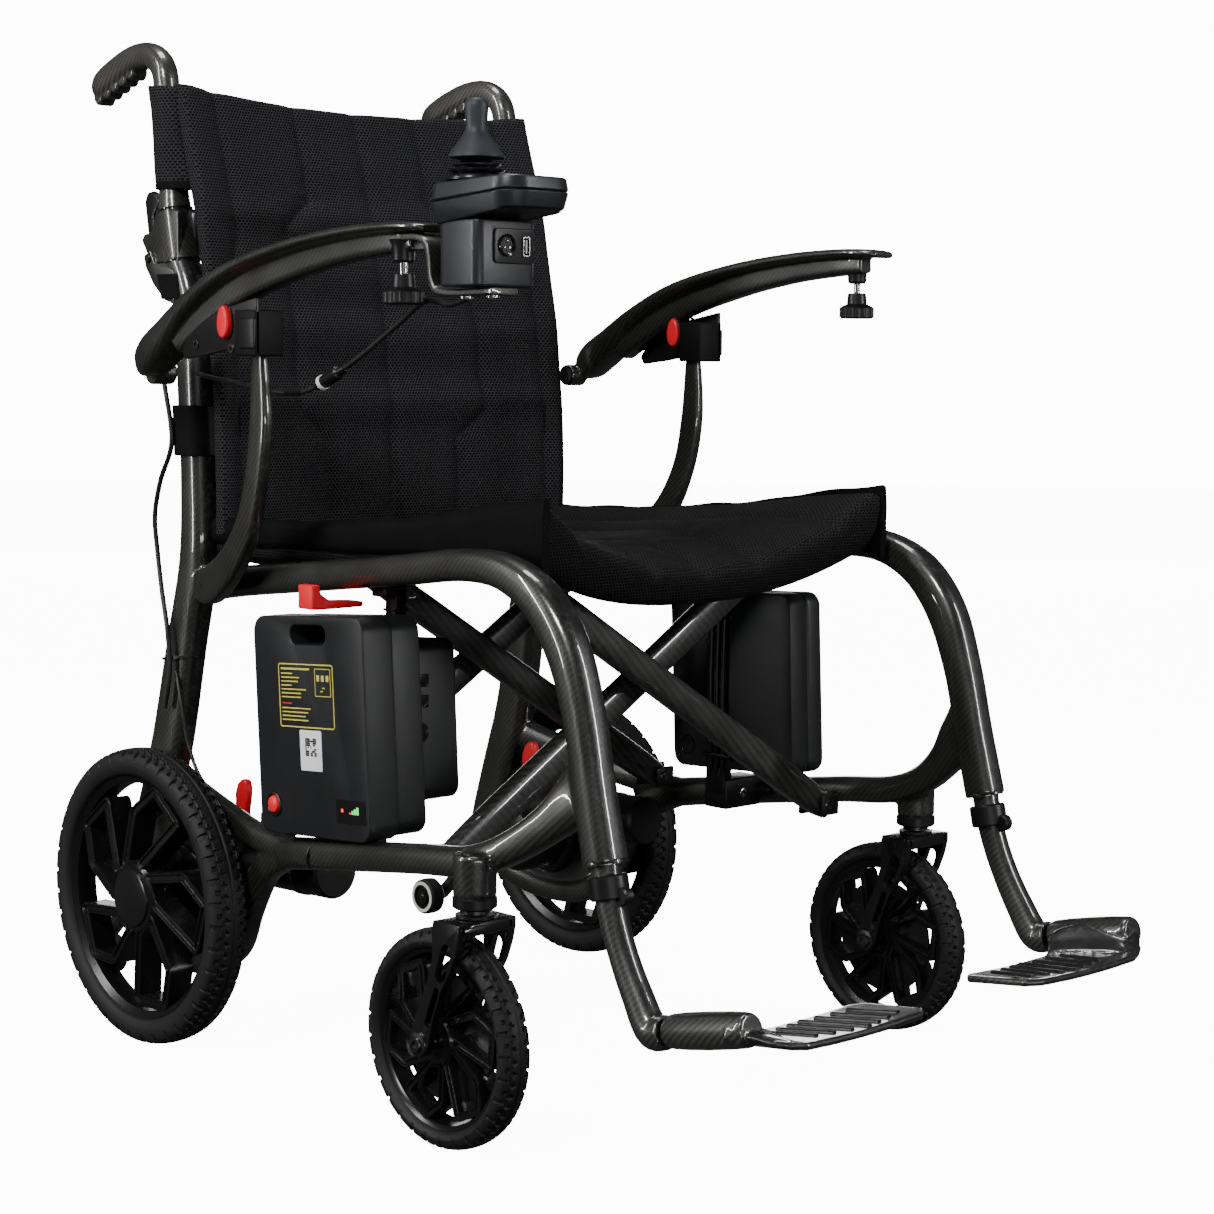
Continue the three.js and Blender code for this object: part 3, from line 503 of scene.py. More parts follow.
def make(name, shape, material, sign=1, bevel=0.0, segments=3, angle=35, closed=True):
    verts = np.asarray(shape[0], float) * (sign, 1, 1)
    mesh = bpy.data.meshes.new(name)
    mesh.from_pydata([row(v) for v in verts], [], shape[1])
    work = bmesh.new()
    work.from_mesh(mesh)
    bmesh.ops.remove_doubles(work, verts=work.verts, dist=2e-6)
    if closed:
        bmesh.ops.recalc_face_normals(work, faces=work.faces)
    work.to_mesh(mesh)
    work.free()
    mesh.materials.append(material)
    obj = linked(name, mesh)
    if bevel:
        return bevelled(obj, bevel, segments, angle)
    return shade(obj, angle)


def bevelled(obj, width, segments=3, angle=35):
    modifier = obj.modifiers.new("bevel", "BEVEL")
    modifier.width = width * 0.001
    modifier.segments = segments
    modifier.angle_limit = math.radians(40)
    bake(obj)
    return shade(obj, angle)


def fused(name, shape, material, sign=1, voxel=2.0, smooth=5):
    """The shapes grown into one skin with soft joints."""
    obj = make(name, shape, material, sign)
    remesh = obj.modifiers.new("remesh", "REMESH")
    remesh.mode = "VOXEL"
    remesh.voxel_size = voxel * 0.001
    relax = obj.modifiers.new("relax", "SMOOTH")
    relax.factor = 0.5
    relax.iterations = smooth
    bake(obj)
    obj.data.materials.clear()
    obj.data.materials.append(material)
    return shade(obj, None)


def carve(obj, shape, sign=1):
    cutter = make("cutter", shape, obj.data.materials[0], sign)
    modifier = obj.modifiers.new("cut", "BOOLEAN")
    modifier.operation = "DIFFERENCE"
    modifier.object = cutter
    modifier.solver = "EXACT"
    bake(obj)
    bpy.data.objects.remove(cutter)
    return shade(obj)


def place(obj, body, stands_for=()):
    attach(obj, body)
    if stands_for:
        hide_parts(*stands_for)
    return obj


def put(body, name, shape, material, *how, slot=None, stands_for=(), **more):
    """Makes a mesh that rides a body."""
    return place(make(name, shape, material, *how, **more), body, stands_for)


# ---- Carbon frames.

RAIL_AND_LEG = [
    (232, 0, 462, 14, 19), (233, -60, 469, 14, 16), (240, -200, 484, 14, 15), (249, -350, 500, 14, 14.5),
    (254, -450, 511, 15, 15), (255, -500, 507, 16, 16), (255, -543, 487, 17, 18), (255, -575, 450, 17, 19),
    (255, -597, 395, 17, 17), (256, -611, 335, 17, 17), (257, -627, 271, 17.5, 17.5),
]
LOWER_RAIL = [
    (255, -603, 358, 12, 14), (258, -592, 324, 13, 22), (268, -567, 297, 14, 17),
    (280, -530, 272, 15, 14.5),
    (285, -490, 257, 15.5, 14), (284, -420, 248, 15, 13.5), (277, -330, 236, 14.5, 14),
    (270, -231, 223, 13.5, 15.5),
    (265, -190, 217, 12, 16),
]
AXLE_HOOP = [
    (266, -205, 219, 11, 14), (260, -152, 196, 12, 16), (257, -120, 152, 12, 15), (256, -98, 110, 12, 14),
    (256, -55, 86, 12, 13), (256, 0, 80, 12, 13), (253, 60, 90, 12, 14), (247, 100, 118, 12, 16),
]
UPPER_BRANCH = [
    (266, -206, 221, 11, 13), (262, -145, 225, 11, 13), (254, -70, 238, 12, 14), (242, 40, 262, 12, 16),
]
REAR_POST = [
    (230, 36, 792, 16.5, 18.5), (230, 15, 750, 16.5, 18.5), (230, 7, 650, 16.5, 18.5),
    (230, 3, 568, 16.5, 18.5),
    (231, 4, 487, 16.5, 20.5), (234, 22, 400, 15.5, 23.5), (238, 45, 292, 15, 26), (240, 75, 210, 14, 25),
    (242, 98, 150, 13, 23), (244, 116, 112, 10, 16),
]
ANTI_TIP_ARM = [(243, 108, 130, 8, 12), (245, 140, 92, 8, 9), (246, 170, 62, 7, 8), (246, 188, 45, 7, 8)]
ARM_SUPPORT = [
    (291, -187, 708, 4, 7), (291, -187, 692, 5, 9), (290, -187, 632, 6.5, 13), (288, -176, 575, 7, 13),
    (282, -151, 525, 8, 14.5), (272, -104, 485, 9, 17), (263, -62, 467, 9, 19), (259, -40, 466, 8, 15),
]


def side_frames(name, sign):
    body = f"{name}_frame"
    disc = lathe(
        [(48, -5), (80, -5), (82, -3), (82, 3), (80, 5), (48, 5), (48, -5)], (254, 0, 150), (1, 0, 0), 64
    )
    shape = merged(
        loft(RAIL_AND_LEG, power=2.9),
        loft(LOWER_RAIL, power=2.8),
        loft(AXLE_HOOP, power=2.8),
        loft(UPPER_BRANCH, power=2.8),
        loft(REAR_POST, power=2.9),
        loft(ANTI_TIP_ARM, sides=16, power=2.4),
        rod((*STEM, 230), (*STEM, 268), 19, 40, 1.5),
        disc,
    )
    frame_skin = fused(f"{name}_frame_skin", shape, CARBON, sign, 1.9, 5)
    place(frame_skin, body, [f"{name}_side_frame"])
    strap = fused(f"{name}_arm_strap", loft(ARM_SUPPORT, power=4.5), CARBON, sign, 1.2, 3)
    place(strap, body, [f"{name}_arm_support"])
    ring_parts = [
        (
            "head_ring",
            lathe(
                [(0, -1), (17.5, -1), (19.6, 0.6), (19.6, 8.4), (18, 10), (0, 10)], (*STEM, 221), (0, 0, 1),
            ),
            BLACK,
        ),
        ("head_bearing", rod((*STEM, 216), (*STEM, 220.5), 13, 32), DARK_STEEL),
        (
            "rail_ring",
            lathe(
                [(14.8, -1.2), (16.6, -0.8), (16.6, 0.8), (14.8, 1.2)], (271.5, -252, 226),
                (0.05, 0.99, 0.15),
            ),
            BLACK,
        ),
        (
            "leg_lip",
            lathe([(13, 0.5), (17.6, 0.5), (17.9, 2.5), (17.2, 4.5)], (257, -627, 270), (0, 0.222, 0.975)),
            CARBON,
        ),
        ("roller_bolt", rod((212, 188, 45), (236, 188, 45), 5, 20, 1), DARK_STEEL),
        ("post_eye", rod((212, 67.6, 792.8), (248.5, 67.6, 792.8), 3.4, 20, 0.6), DARK_STEEL),
    ]
    for part, piece, material in ring_parts:
        put(body, f"{name}_{part}", piece, material, sign, closed=False)
    lug = [
        (22, 745), (40, 750), (60, 766), (73, 783), (76.5, 793), (68, 801.5), (59.5, 794), (57, 787.5),
        (38, 787.5), (22, 780),
    ]
    lugs = merged(prism(lug, "x", 213.5, 221.5), prism(lug, "x", 238.5, 246.5))
    put(body, f"{name}_hinge_lug", lugs, CARBON, sign, 1.6)
    screws = [
        ((247, 40, 768), (1, 0, 0), 4.2), ((247.5, 67.6, 792.8), (1, 0, 0), 4.6),
    ]
    for i, (where, axis, radius) in enumerate(screws):
        put(body, f"{name}_frame_screw{i}", screw(where, axis, radius), DARK_STEEL, sign)
    foot = screw((270, -62, 470), (1, 0, 0.2), 5.5)
    put(body, f"{name}_support_screw", foot, DARK_STEEL, sign)


def straps(name, sign):
    """Cloth straps that hold the back fabric to the rear post."""
    for i, (low, high) in enumerate(((751, 776), (593, 644))):
        y = 27 if i == 0 else 6
        outline = rounded(19.5, 21.5, 12, 8)
        rings = []
        for k, z in enumerate(np.linspace(low, high, 12)):
            swell = 0.5 * math.sin(k * 1.9)
            lean = (z - low) * (0.30 if i == 0 else 0.06)
            rings.append(
                [(POST_X + a * (1 + 0.01 * swell), y + lean + b + swell * 0.4, z) for a, b in outline]
            )
        put(f"{name}_frame", f"{name}_strap{i}", skin(np.array(rings)), STRAP, sign, 0.8)
        tab = box((206, 232), (y - 42, y - 16), (low + 1, high - 1))
        put(f"{name}_frame", f"{name}_strap_tab{i}", tab, STRAP, sign, 1.0)


def drive_units(name, sign):
    body = f"{name}_frame"
    parts = [
        (
            "gear_case",
            lathe(
                [(0, 0), (40, 0), (46, 3), (48.2, 10), (48.2, 35), (0, 35.4)], (238, 0, 150), (1, 0, 0), 64,
            ),
            PAINT,
        ),
        (
            "gear_cover",
            lathe([(0, 0), (34, 0), (39, 3), (41.5, 8), (41.5, 50), (0, 50)], (190, 0, 150), (1, 0, 0), 64),
            BLACK,
        ),
        ("motor_can", rod((212.4, -18, 186.3), (212.4, -200, 192), 26.2, 48, 3), BLACK),
        (
            "motor_band",
            lathe([(26.3, 0), (27.4, 1), (27.4, 9), (26.3, 10)], (212.4, -150, 190.4), (0, -1, 0.03)),
            DARK_STEEL,
        ),
        ("clutch_neck", box((192, 204), (-34, -14), (165, 214)), BLACK),
    ]
    for i, (part, piece, material) in enumerate(parts):
        obj = make(f"{name}_{part}", piece, material, sign, 1.0 if part == "clutch_neck" else 0)
        place(obj, body, [f"{name}_drive_motor"] if i == 0 else ())
    for k in range(5):
        angle = 2 * math.pi * k / 5
        where = (190, 34 * math.cos(angle), 150 + 34 * math.sin(angle))
        put(body, f"{name}_cover_screw{k}", screw(where, (-1, 0, 0), 3.2), DARK_STEEL, sign)
    outline = [
        (-27, 217), (-21, 217), (-16, 225), (-15.5, 246), (-20, 257), (-27, 261.5), (-34, 261),
        (-36.5, 254), (-36, 244), (-32, 225),
    ]
    lever = make(f"{name}_clutch_tab", prism(outline, "x", 193.5, 202.5), RED, sign, 2.4, 4)
    place(lever, f"{name}_clutch_lever", [f"{name}_clutch_lever"])


def anti_tip(name, sign):
    body = f"{name}_anti_tip_roller"
    tyre = [
        (13, -9.6), (19, -9.6), (21, -8), (21.5, -4), (21.5, 4), (21, 8), (19, 9.6), (13, 9.6), (13, -9.6),
    ]
    put(
        body, f"{name}_roller_tyre", lathe(tyre, ROLLER), RUBBER, sign, slot="tyre",
        stands_for=[f"{name}_anti_tip_roller"],
    )
    ring = [(14.8, -10.4), (18.6, -10.4), (18.6, 10.4), (14.8, 10.4), (14.8, -10.4)]
    put(body, f"{name}_roller_ring", lathe(ring, ROLLER), WHITE, sign)
    hub = [
        (5, -10.6), (9, -10.6), (9.4, -8), (14.8, -7), (14.8, 7), (9.4, 8), (9, 10.6), (5, 10.6), (5, -10.6)
    ]
    put(body, f"{name}_roller_hub", lathe(hub, ROLLER), BLACK, sign)


# ---- Wheels.


def tyre_shape(wheel, segments, slots):
    """A tyre with shoulder slots and small sipes pressed into its tread."""
    radius, half = wheel["radius"], wheel["half"]
    inner = radius * TYRE_INNER
    side = [
        (inner, 0.70), (inner + 2, 0.86), (inner + 0.35 * (radius - inner), 1.0), (radius - 9, 0.985),
        (radius - 5, 0.9), (radius - 2.2, 0.72), (radius - 0.7, 0.45), (radius, 0.16),
    ]
    profile = [(r, -a * half) for r, a in side] + [(r, a * half) for r, a in reversed(side)]
    fine = spline([(r, a, 0) for r, a in profile], 5)[:, :2]
    angle = 2 * np.pi * np.arange(segments) / segments
    rings = []
    for r, a in fine:
        s = abs(a) / half
        depth = np.zeros(segments)
        if r > radius - 11:
            turn = (angle * slots / (2 * np.pi) + (0.5 if a > 0 else 0)) % 1.0
            if s > 0.62:
                long_slot = np.where((angle * slots / (4 * np.pi)) % 1.0 < 0.5, 1.0, 0.85)
                depth = np.where(turn < 0.36, 3.4, 0) * (s < long_slot)
            elif 0.26 < s < 0.56:
                sipe = (turn > 0.5) & (turn < 0.72)
                depth = np.where(sipe, 2.6, 0)
                if 0.36 < s < 0.46:
                    depth = np.maximum(depth, np.where((turn > 0.35) & (turn < 0.85), 2.2, 0))
            if s < 0.07 or 0.56 <= s <= 0.62:
                depth = np.full(segments, 1.3)
        reach = r - depth
        y, z = wheel["y"] + reach * np.cos(angle), wheel["z"] + reach * np.sin(angle)
        rings.append(np.stack([np.full(segments, wheel["x"] + a), y, z], 1))
    return skin(np.array(rings), closed=True)


def soft_corners(points, times=2):
    p = np.array(points, float)
    for _ in range(times):
        n = np.roll(p, -1, 0)
        p = np.stack([0.82 * p + 0.18 * n, 0.18 * p + 0.82 * n], 1).reshape(-1, p.shape[1])
    return p


# One loop of a wheel: degrees round it, and radius on the rear wheel.
LOOP = [(-25, 39), (-4, 86), (14, 111), (39, 104), (21, 42)]
LOOP_IN, LOOP_OUT = 40, 110
# Its section: two ridges with a groove between them, and a deep web behind.
HALF_RIDGES = [(4.6, -24), (5.4, 1.6), (4.6, 2.9), (3.2, 2.9), (2.0, 0.6)]
TYRE_INNER = 0.82


def petals(wheel, hub, count, face_hub, face_rim):
    """Loops with twin ridges that join the hub to the rim."""
    scale = wheel["radius"] / REAR_WHEEL["radius"]
    ridges = [(-a, b) for a, b in HALF_RIDGES] + HALF_RIDGES[::-1]
    section = [(a * max(scale, 0.72), b * (scale if b < 0 else 1)) for a, b in ridges]
    shapes = []
    for k in range(count):
        path = []
        for degrees, r in LOOP:
            angle = math.radians(90 - degrees - 360 * k / count)
            share = (r - LOOP_IN) / (LOOP_OUT - LOOP_IN)
            reach = hub + share * (wheel["radius"] * 0.755 - hub)
            x = wheel["x"] + face_hub + (face_rim - face_hub) * share
            path.append((x, wheel["y"] - reach * math.cos(angle), wheel["z"] + reach * math.sin(angle)))
        path = soft_corners(soft_dense(path))
        shapes.append(sweep(path, section, closed=True, up=(1, 0, 0)))
    return merged(*shapes)


def soft_dense(points, step=9.0):
    out = []
    p = np.array(points, float)
    for a, b in zip(p, np.roll(p, -1, 0)):
        count = max(1, round(np.linalg.norm(b - a) / step))
        out += [a + (b - a) * k / count for k in range(count)]
    return np.array(out)


def wheel_parts(kind, wheel, name, sign, body, hub, count, segments, slots):
    radius, half, x = wheel["radius"], wheel["half"], wheel["x"]
    centre = (x, wheel["y"], wheel["z"])
    tyre = make(f"{name}_{kind}_tread", tyre_shape(wheel, segments, slots), RUBBER, sign, angle=28)
    place(tyre, body, [f"{name}_{kind}_tyre"])
    inner = radius * TYRE_INNER
    bead = inner - 9 * radius / 150
    flange = [
        (bead, -0.1 * half), (inner - 7 * radius / 150, 0.5 * half), (inner - 3, 0.62 * half),
        (inner - 0.4, 0.70 * half), (inner - 0.2, 0.55 * half), (inner - 0.4, -0.7 * half),
        (inner - 4, -0.62 * half), (inner - 8, -0.5 * half), (bead, -0.1 * half),
    ]
    rear = kind == "rear"
    face = 20 if rear else 15
    loops = petals(wheel, hub * 1.12, count, face - 4, 0.42 * half)
    boss = [
        (hub * 0.4, -0.6 * half), (hub * 1.0, -0.55 * half), (hub * 1.22, 0), (hub * 1.2, face - 4),
        (hub * 1.08, face - 1), (hub * 0.4, face - 0.5), (hub * 0.4, -0.6 * half),
    ]
    rim = merged(
        lathe(flange, centre, (1, 0, 0), 160),
        loops,
        lathe(boss, centre, (1, 0, 0), 64),
    )
    put(
        body, f"{name}_{kind}_spokes", rim, RIM, sign, angle=30, slot="rim_plastic",
        stands_for=[f"{name}_{kind}_rim"],
    )
    if not rear:
        verts, faces = loops
        verts = np.array(verts) * (-1, 1, 1) + (2 * x, 0, 0)
        web = [
            (hub, -0.2 * half), (radius * 0.6, -0.15 * half), (radius * 0.6, 0), (hub, 0),
            (hub, -0.2 * half),
        ]
        put(body, f"{name}_{kind}_web", lathe(web, centre, (1, 0, 0), 96), RIM, sign)
        put(body, f"{name}_{kind}_inner_spokes", (verts, faces), RIM, sign, angle=30)


def rear_wheels(name, sign):
    body = f"{name}_rear_wheel"
    wheel_parts("rear", REAR_WHEEL, name, sign, body, 31, 5, 800, 80)
    cap = lathe([(0, 2.6), (26, 2.4), (28.6, 1.4), (29.4, -0.5), (29.4, -6)], (318, 0, 150), (1, 0, 0), 64)
    put(body, f"{name}_hub_cap", cap, CAP, sign, closed=False)


def casters(name, sign):
    wheel = CASTER_WHEEL
    body = f"{name}_caster_wheel"
    wheel_parts("caster", wheel, name, sign, body, 19, 6, 560, 58)
    fork_body = f"{name}_caster"
    outline = [
        (-524, 211), (-490, 211), (-488, 203), (-489, 180), (-482, 156), (-470, 132), (-459, 104),
        (-458.5, 95),
        (-463, 88), (-471, 86), (-479, 90), (-483, 98), (-489, 122), (-500, 150), (-514, 172), (-521, 190),
        (-524, 203),
    ]
    blades = merged(prism(outline, "x", 265.5, 272.5), prism(outline, "x", 323.5, 330.5))
    fork = make(f"{name}_fork_blades", blades, PAINT, sign)
    slots = merged(
        slot_cutter((-507, 186), (-499, 163), 6.5),
        slot_cutter((-494, 149), (-482, 119), 3.6),
    )
    carve(fork, slots, sign)
    bevelled(fork, 1.6)
    place(fork, fork_body, [f"{name}_caster_fork"])
    crown = make(f"{name}_fork_crown", box((267, 329), (-524, -490), (199, 211.5)), PAINT, sign, 3.0, 4)
    place(crown, fork_body)
    collar = lathe([(0, 0), (15.5, 0), (17, 1.2), (17, 3.4), (0, 4.2)], (*STEM, 211.3), (0, 0, 1), 48)
    put(fork_body, f"{name}_fork_collar", collar, BLACK, sign)
    for side in (-1, 1):
        washer = lathe(
            [
                (0, 4.4), (3.2, 4.4), (3.4, 6.2), (6.2, 6.2), (7, 5), (7.2, 3.6), (10.6, 3.2), (11.4, 1.4),
                (11.4, -1),
            ],
            (298 + side * 31, wheel["y"], wheel["z"]), (side, 0, 0), 40,
        )
        put(fork_body, f"{name}_fork_bolt{side + 1}", washer, DARK_STEEL, sign, closed=False)
    axle = rod((264, -470, 98), (332, -470, 98), 5, 24)
    put(fork_body, f"{name}_caster_axle", axle, STEEL, sign)


def slot_cutter(start, end, half, low=260, high=336):
    (ya, za), (yb, zb) = start, end
    lean = math.atan2(zb - za, yb - ya)
    outline = []
    for k in range(17):
        angle = lean + math.pi / 2 + math.pi * k / 16
        outline.append((ya + half * math.cos(angle), za + half * math.sin(angle)))
    for k in range(17):
        angle = lean - math.pi / 2 + math.pi * k / 16
        outline.append((yb + half * math.cos(angle), zb + half * math.sin(angle)))
    return prism(outline, "x", low, high)


# ---- Footrests.


def footrests(name, sign):
    along = lambda d: (257, -627 + d * 0.222, 271 + d * 0.975)
    leg = loft(
        [
            (*along(76), 12.4, 12.4), (*along(0), 12.4, 12.4), (258, -635, 238, 12.5, 12.5),
            (259, -649, 203, 12.5, 12.5),
            (260, -669, 168, 13, 13.5), (261, -690, 141, 14, 15), (261, -706, 143.5, 14, 14.5),
        ],
        power=2.1,
    )
    body = f"{name}_footrest"
    place(
        fused(f"{name}_leg_tube", leg, CARBON_FOOT, sign, 1.2, 4), body, [f"{name}_footrest_post"]
    )
    collar = lathe(
        [(12.6, 0), (16, 0.2), (17.4, 1.6), (17.4, 19.4), (16, 20.8), (12.6, 21)], along(-30),
        (0, 0.222, 0.975), 48,
    )
    put(body, f"{name}_collar", collar, BLACK, sign, closed=False)
    ear = rod((252, -650, 247), (262, -650, 247), 8, 28, 1.5)
    put(body, f"{name}_collar_ear", ear, BLACK, sign)
    x, back, front = 261, np.array((-710, 145.2)), np.array((-800, 164.4))
    plate = f"{name}_footplate"
    run = [(x, *(back + (front - back) * t)) for t in (0, 0.06, 0.94, 1.0)]
    barrel = loft(
        [
            (*run[0], 13, 13), (*run[1], 14.6, 14.6), (*run[2], 14.6, 14.6), (*run[3], 13.2, 13.2),
        ], steps=4, power=2.0
    )
    sheet = []
    for share in np.linspace(0, 1, 15):
        px = 250 - 180 * share
        lift = 4 * max(0.0, 1 - share / 0.14) ** 1.5 - 3.0 * math.sin(math.pi * share)
        cut_front = 12 * max(0.0, 1 - share / 0.12) + (10 * max(0.0, (share - 0.93) / 0.07) ** 2)
        cut_back = 10 * max(0.0, (share - 0.93) / 0.07) ** 2
        y0, y1 = -829 + cut_front, -744 - cut_back
        ring = []
        for y, top in ((y0, 0), (y0 + 2, 3.3), (y1 - 2, 3.3), (y1, 0), (y1 - 2, -3.3), (y0 + 2, -3.3)):
            ring.append((px, y, 146 + lift + top - 0.12 * (786 + y)))
        sheet.append(ring)
    fairing = loft(
        [
            (256, -757, 156, 38, 11), (246, -765, 154, 42, 9), (234, -775, 150.5, 43, 6.5),
            (216, -784, 147, 41, 4),
        ], steps=6, power=2.4, across=(0, 1, 0)
    )
    skin_plate = fused(
        f"{name}_plate_skin", merged(barrel, skin(sheet), fairing), CARBON_FOOT, sign, 1.2, 10,
    )
    place(skin_plate, plate, [plate])
    pads = []
    for k in range(7):
        px = 96 + 17 * k
        share = (262 - px) / 192
        lift = -3.0 * math.sin(math.pi * share)
        path = []
        for y in np.linspace(-822 + 4 * abs(k - 3), -752 - 3 * abs(k - 3), 9):
            path.append((px + 5 * math.sin((y + 790) * 0.03), y, 149.6 + lift - 0.12 * (786 + y)))
        pads.append(
            sweep(path, [(-3.4, -1), (-2.6, 0.9), (-1, 1.5), (1, 1.5), (2.6, 0.9), (3.4, -1)], up=(0, 0, 1))
        )
    put(plate, f"{name}_plate_grip", merged(*pads), BLACK, sign)


# ---- Back posts, armrests.

UPPER_POST = [
    (230, 30, 789, 17, 18), (230, 36, 815, 17, 18), (230, 43, 841, 15.5, 16.5), (229, 48, 875, 12.8, 13.8),
    (229, 56, 950, 12.3, 12.8), (228, 64, 984, 12.3, 12.8), (227, 84, 999, 12.5, 12.8),
    (226, 112, 1000, 13, 14),
    (225, 150, 989, 14, 15.5), (224.5, 180, 976.5, 13.4, 15), (224.5, 191, 972.5, 9.5, 11),
]


def back_posts(name, sign):
    body = f"{name}_back"
    grooves = []
    for k in range(5):
        y = 120 + 15 * k
        z = 998 - 0.36 * (y - 112) - 9.5
        grooves.append(rod((215, y, z), (234, y, z), 8.2, 24, 2))
    post = fused(
        f"{name}_post_skin", merged(loft(UPPER_POST, power=2.5), *grooves), CARBON_HANDLE, sign, 1.2, 4,
    )
    place(post, body, [f"{name}_back_post"])
    housing = [
        (17, 789), (17.5, 838), (26, 842), (56, 842), (60, 832), (66, 820), (80, 817.5), (84, 811),
        (75, 799), (68, 786), (58, 788),
    ]
    for part, low, high in (("hinge_shell", 235.5, 244), ("hinge_inner", 216, 224)):
        put(body, f"{name}_{part}", prism(housing, "x", low, high), CARBON, sign, 1.6)
    for i, (y, z) in enumerate(((31, 788.6), (42, 841.5))):
        ring = lathe([(16, -0.8), (17.6, -0.6), (17.6, 0.6), (16, 0.8)], (POST_X, y, z), (0, 0.2, 1), 48)
        put(body, f"{name}_post_ring{i}", ring, BLACK_GLOSS, sign, closed=False)
    for i, (where, finish) in enumerate((((240, 28, 816), STEEL), ((238, 38, 850), DARK_STEEL))):
        put(body, f"{name}_post_screw{i}", screw(where, (0.9, -0.5, 0), 3.6), finish, sign)
    lever = [
        (74, 812.5), (84, 811.5), (88, 822), (93, 852), (88, 861), (80, 862), (70, 858), (64, 850),
        (68, 846), (76, 838),
    ]
    tab = make(f"{name}_latch_tab", prism(lever, "x", 226, 234), BLACK, sign, 2.2)
    place(tab, f"{name}_back_latch", [f"{name}_back_latch"])


ARM_TOP = [
    (296, -4, 680, 12, 9), (297, -15, 688, 18, 16), (297, -30, 699, 21, 18), (297, -55, 714, 23, 16),
    (297, -95, 740, 25, 11),
    (297, -160, 770, 26, 8), (297, -250, 791, 26, 6.5), (297, -350, 802.5, 26, 5.5),
    (297, -425, 804.5, 25, 4.6),
    (297, -446, 803, 20, 4), (297, -452, 802, 14, 3.4),
]
ARM_WEB = [
    (297, -70, 708, 14, 14), (297, -110, 730, 13, 15), (297, -160, 752, 12, 14), (297, -250, 775, 11, 13),
    (297, -330, 787, 11, 11),
    (297, -395, 792, 11, 10), (297, -428, 793, 9, 9),
]


def armrests(name, sign):
    body = f"{name}_armrest"
    shape = merged(
        loft(ARM_TOP, power=3.0), loft(ARM_WEB, power=4.0), rod((268, -5, 677), (292, -5, 677), 12, 32),
    )
    skin_arm = fused(f"{name}_arm_skin", shape, CARBON_ARM, sign, 1.3, 3)
    place(skin_arm, body, [f"{name}_armrest"])
    boss = lathe([(0, -2), (8, -2), (9.6, 0), (10.2, 12), (12.5, 18), (0, 18)], (*KNOB, 776), (0, 0, 1), 40)
    put(body, f"{name}_knob_boss", boss, BLACK, sign)
    put(body, f"{name}_knob_shank", rod((*KNOB, 741), (*KNOB, 777), 3.6, 24), STEEL, sign)
    outline = [
        (-209, 693), (-168, 693), (-162, 699), (-130, 694), (-92, 690), (-87, 698), (-97, 712), (-125, 727),
        (-150, 737), (-209, 747),
    ]
    bracket = make(f"{name}_bracket_plate", prism(outline, "x", 306.8, 311.2), BLACK, sign, 1.2)
    place(bracket, body, [f"{name}_arm_bracket"])
    latch = make(f"{name}_bracket_latch", box((279, 312.5), (-209, -176), (693, 736)), BRACKET, sign)
    carve(latch, box((283.2, 298.8), (-203, -160), (680, 715)), sign)
    bevelled(latch, 1.8)
    place(latch, body)
    rail = box((310.8, 314.5), (-209, -186), (700, 728))
    put(body, f"{name}_bracket_rail", rail, BLACK, sign, 1.2)
    for i, (y, z) in enumerate(((-112, 704), (-170, 700))):
        put(body, f"{name}_bracket_screw{i}", screw((311, y, z), (1, 0, 0), 4.6), DARK_STEEL, sign)
    by, bz = ARM_BUTTON
    button_outline = []
    for k in range(40):
        angle = 2 * math.pi * k / 40
        width = 8.7 - 0.9 * math.sin(angle)
        button_outline.append((by + width * math.cos(angle), bz + 15.4 * math.sin(angle)))
    socket = [(a + (a - by) * 0.16, b + (b - bz) * 0.12) for a, b in button_outline]
    bore = [(a + (a - by) * 0.05, b + (b - bz) * 0.04) for a, b in button_outline]
    frame_ring = make(f"{name}_button_frame", prism(socket, "x", 308, 312.6), BLACK, sign)
    carve(frame_ring, prism(bore, "x", 300, 320), sign)
    bevelled(frame_ring, 0.35)
    place(frame_ring, body)
    button = make(f"{name}_button_cap", prism(button_outline, "x", 310.5, 318), RED, sign, 2.4, 5)
    place(button, f"{name}_arm_button", [f"{name}_arm_button"])
    ring = make(f"{name}_inner_frame", prism(socket, "x", 283.6, 288), BLACK, sign, 1.0)
    place(ring, body)
    inner = make(f"{name}_inner_cap", prism(button_outline, "x", 280.5, 290), RED, sign, 2.4, 5)
    place(inner, f"{name}_arm_button")
    disc = [18.0 if k % 4 < 2 else 17.3 for k in range(96)]
    profile = [
        (4.2, 738), (15.6, 738), (17, 739.4), (17, 748.6), (15, 751), (10.4, 753), (9.4, 764), (4.2, 764),
        (4.2, 738),
    ]
    verts, faces = lathe([(r, z - 738) for r, z in profile], (*KNOB, 738), (0, 0, 1), 96)
    flat = verts[:, :2] - KNOB
    reach = np.linalg.norm(flat, axis=1)
    grow = np.where(reach > 16.5, np.tile(np.array(disc), len(verts) // 96 + 1)[: len(verts)] / 17.0, 1.0)
    verts[:, :2] = KNOB + flat * grow[:, None]
    put(
        f"{name}_arm_knob", f"{name}_knob_disc", (verts, faces), BLACK, sign, angle=30,
        slot="black_plastic", stands_for=[f"{name}_arm_knob"],
    )


# ---- Cross braces and seat tubes.


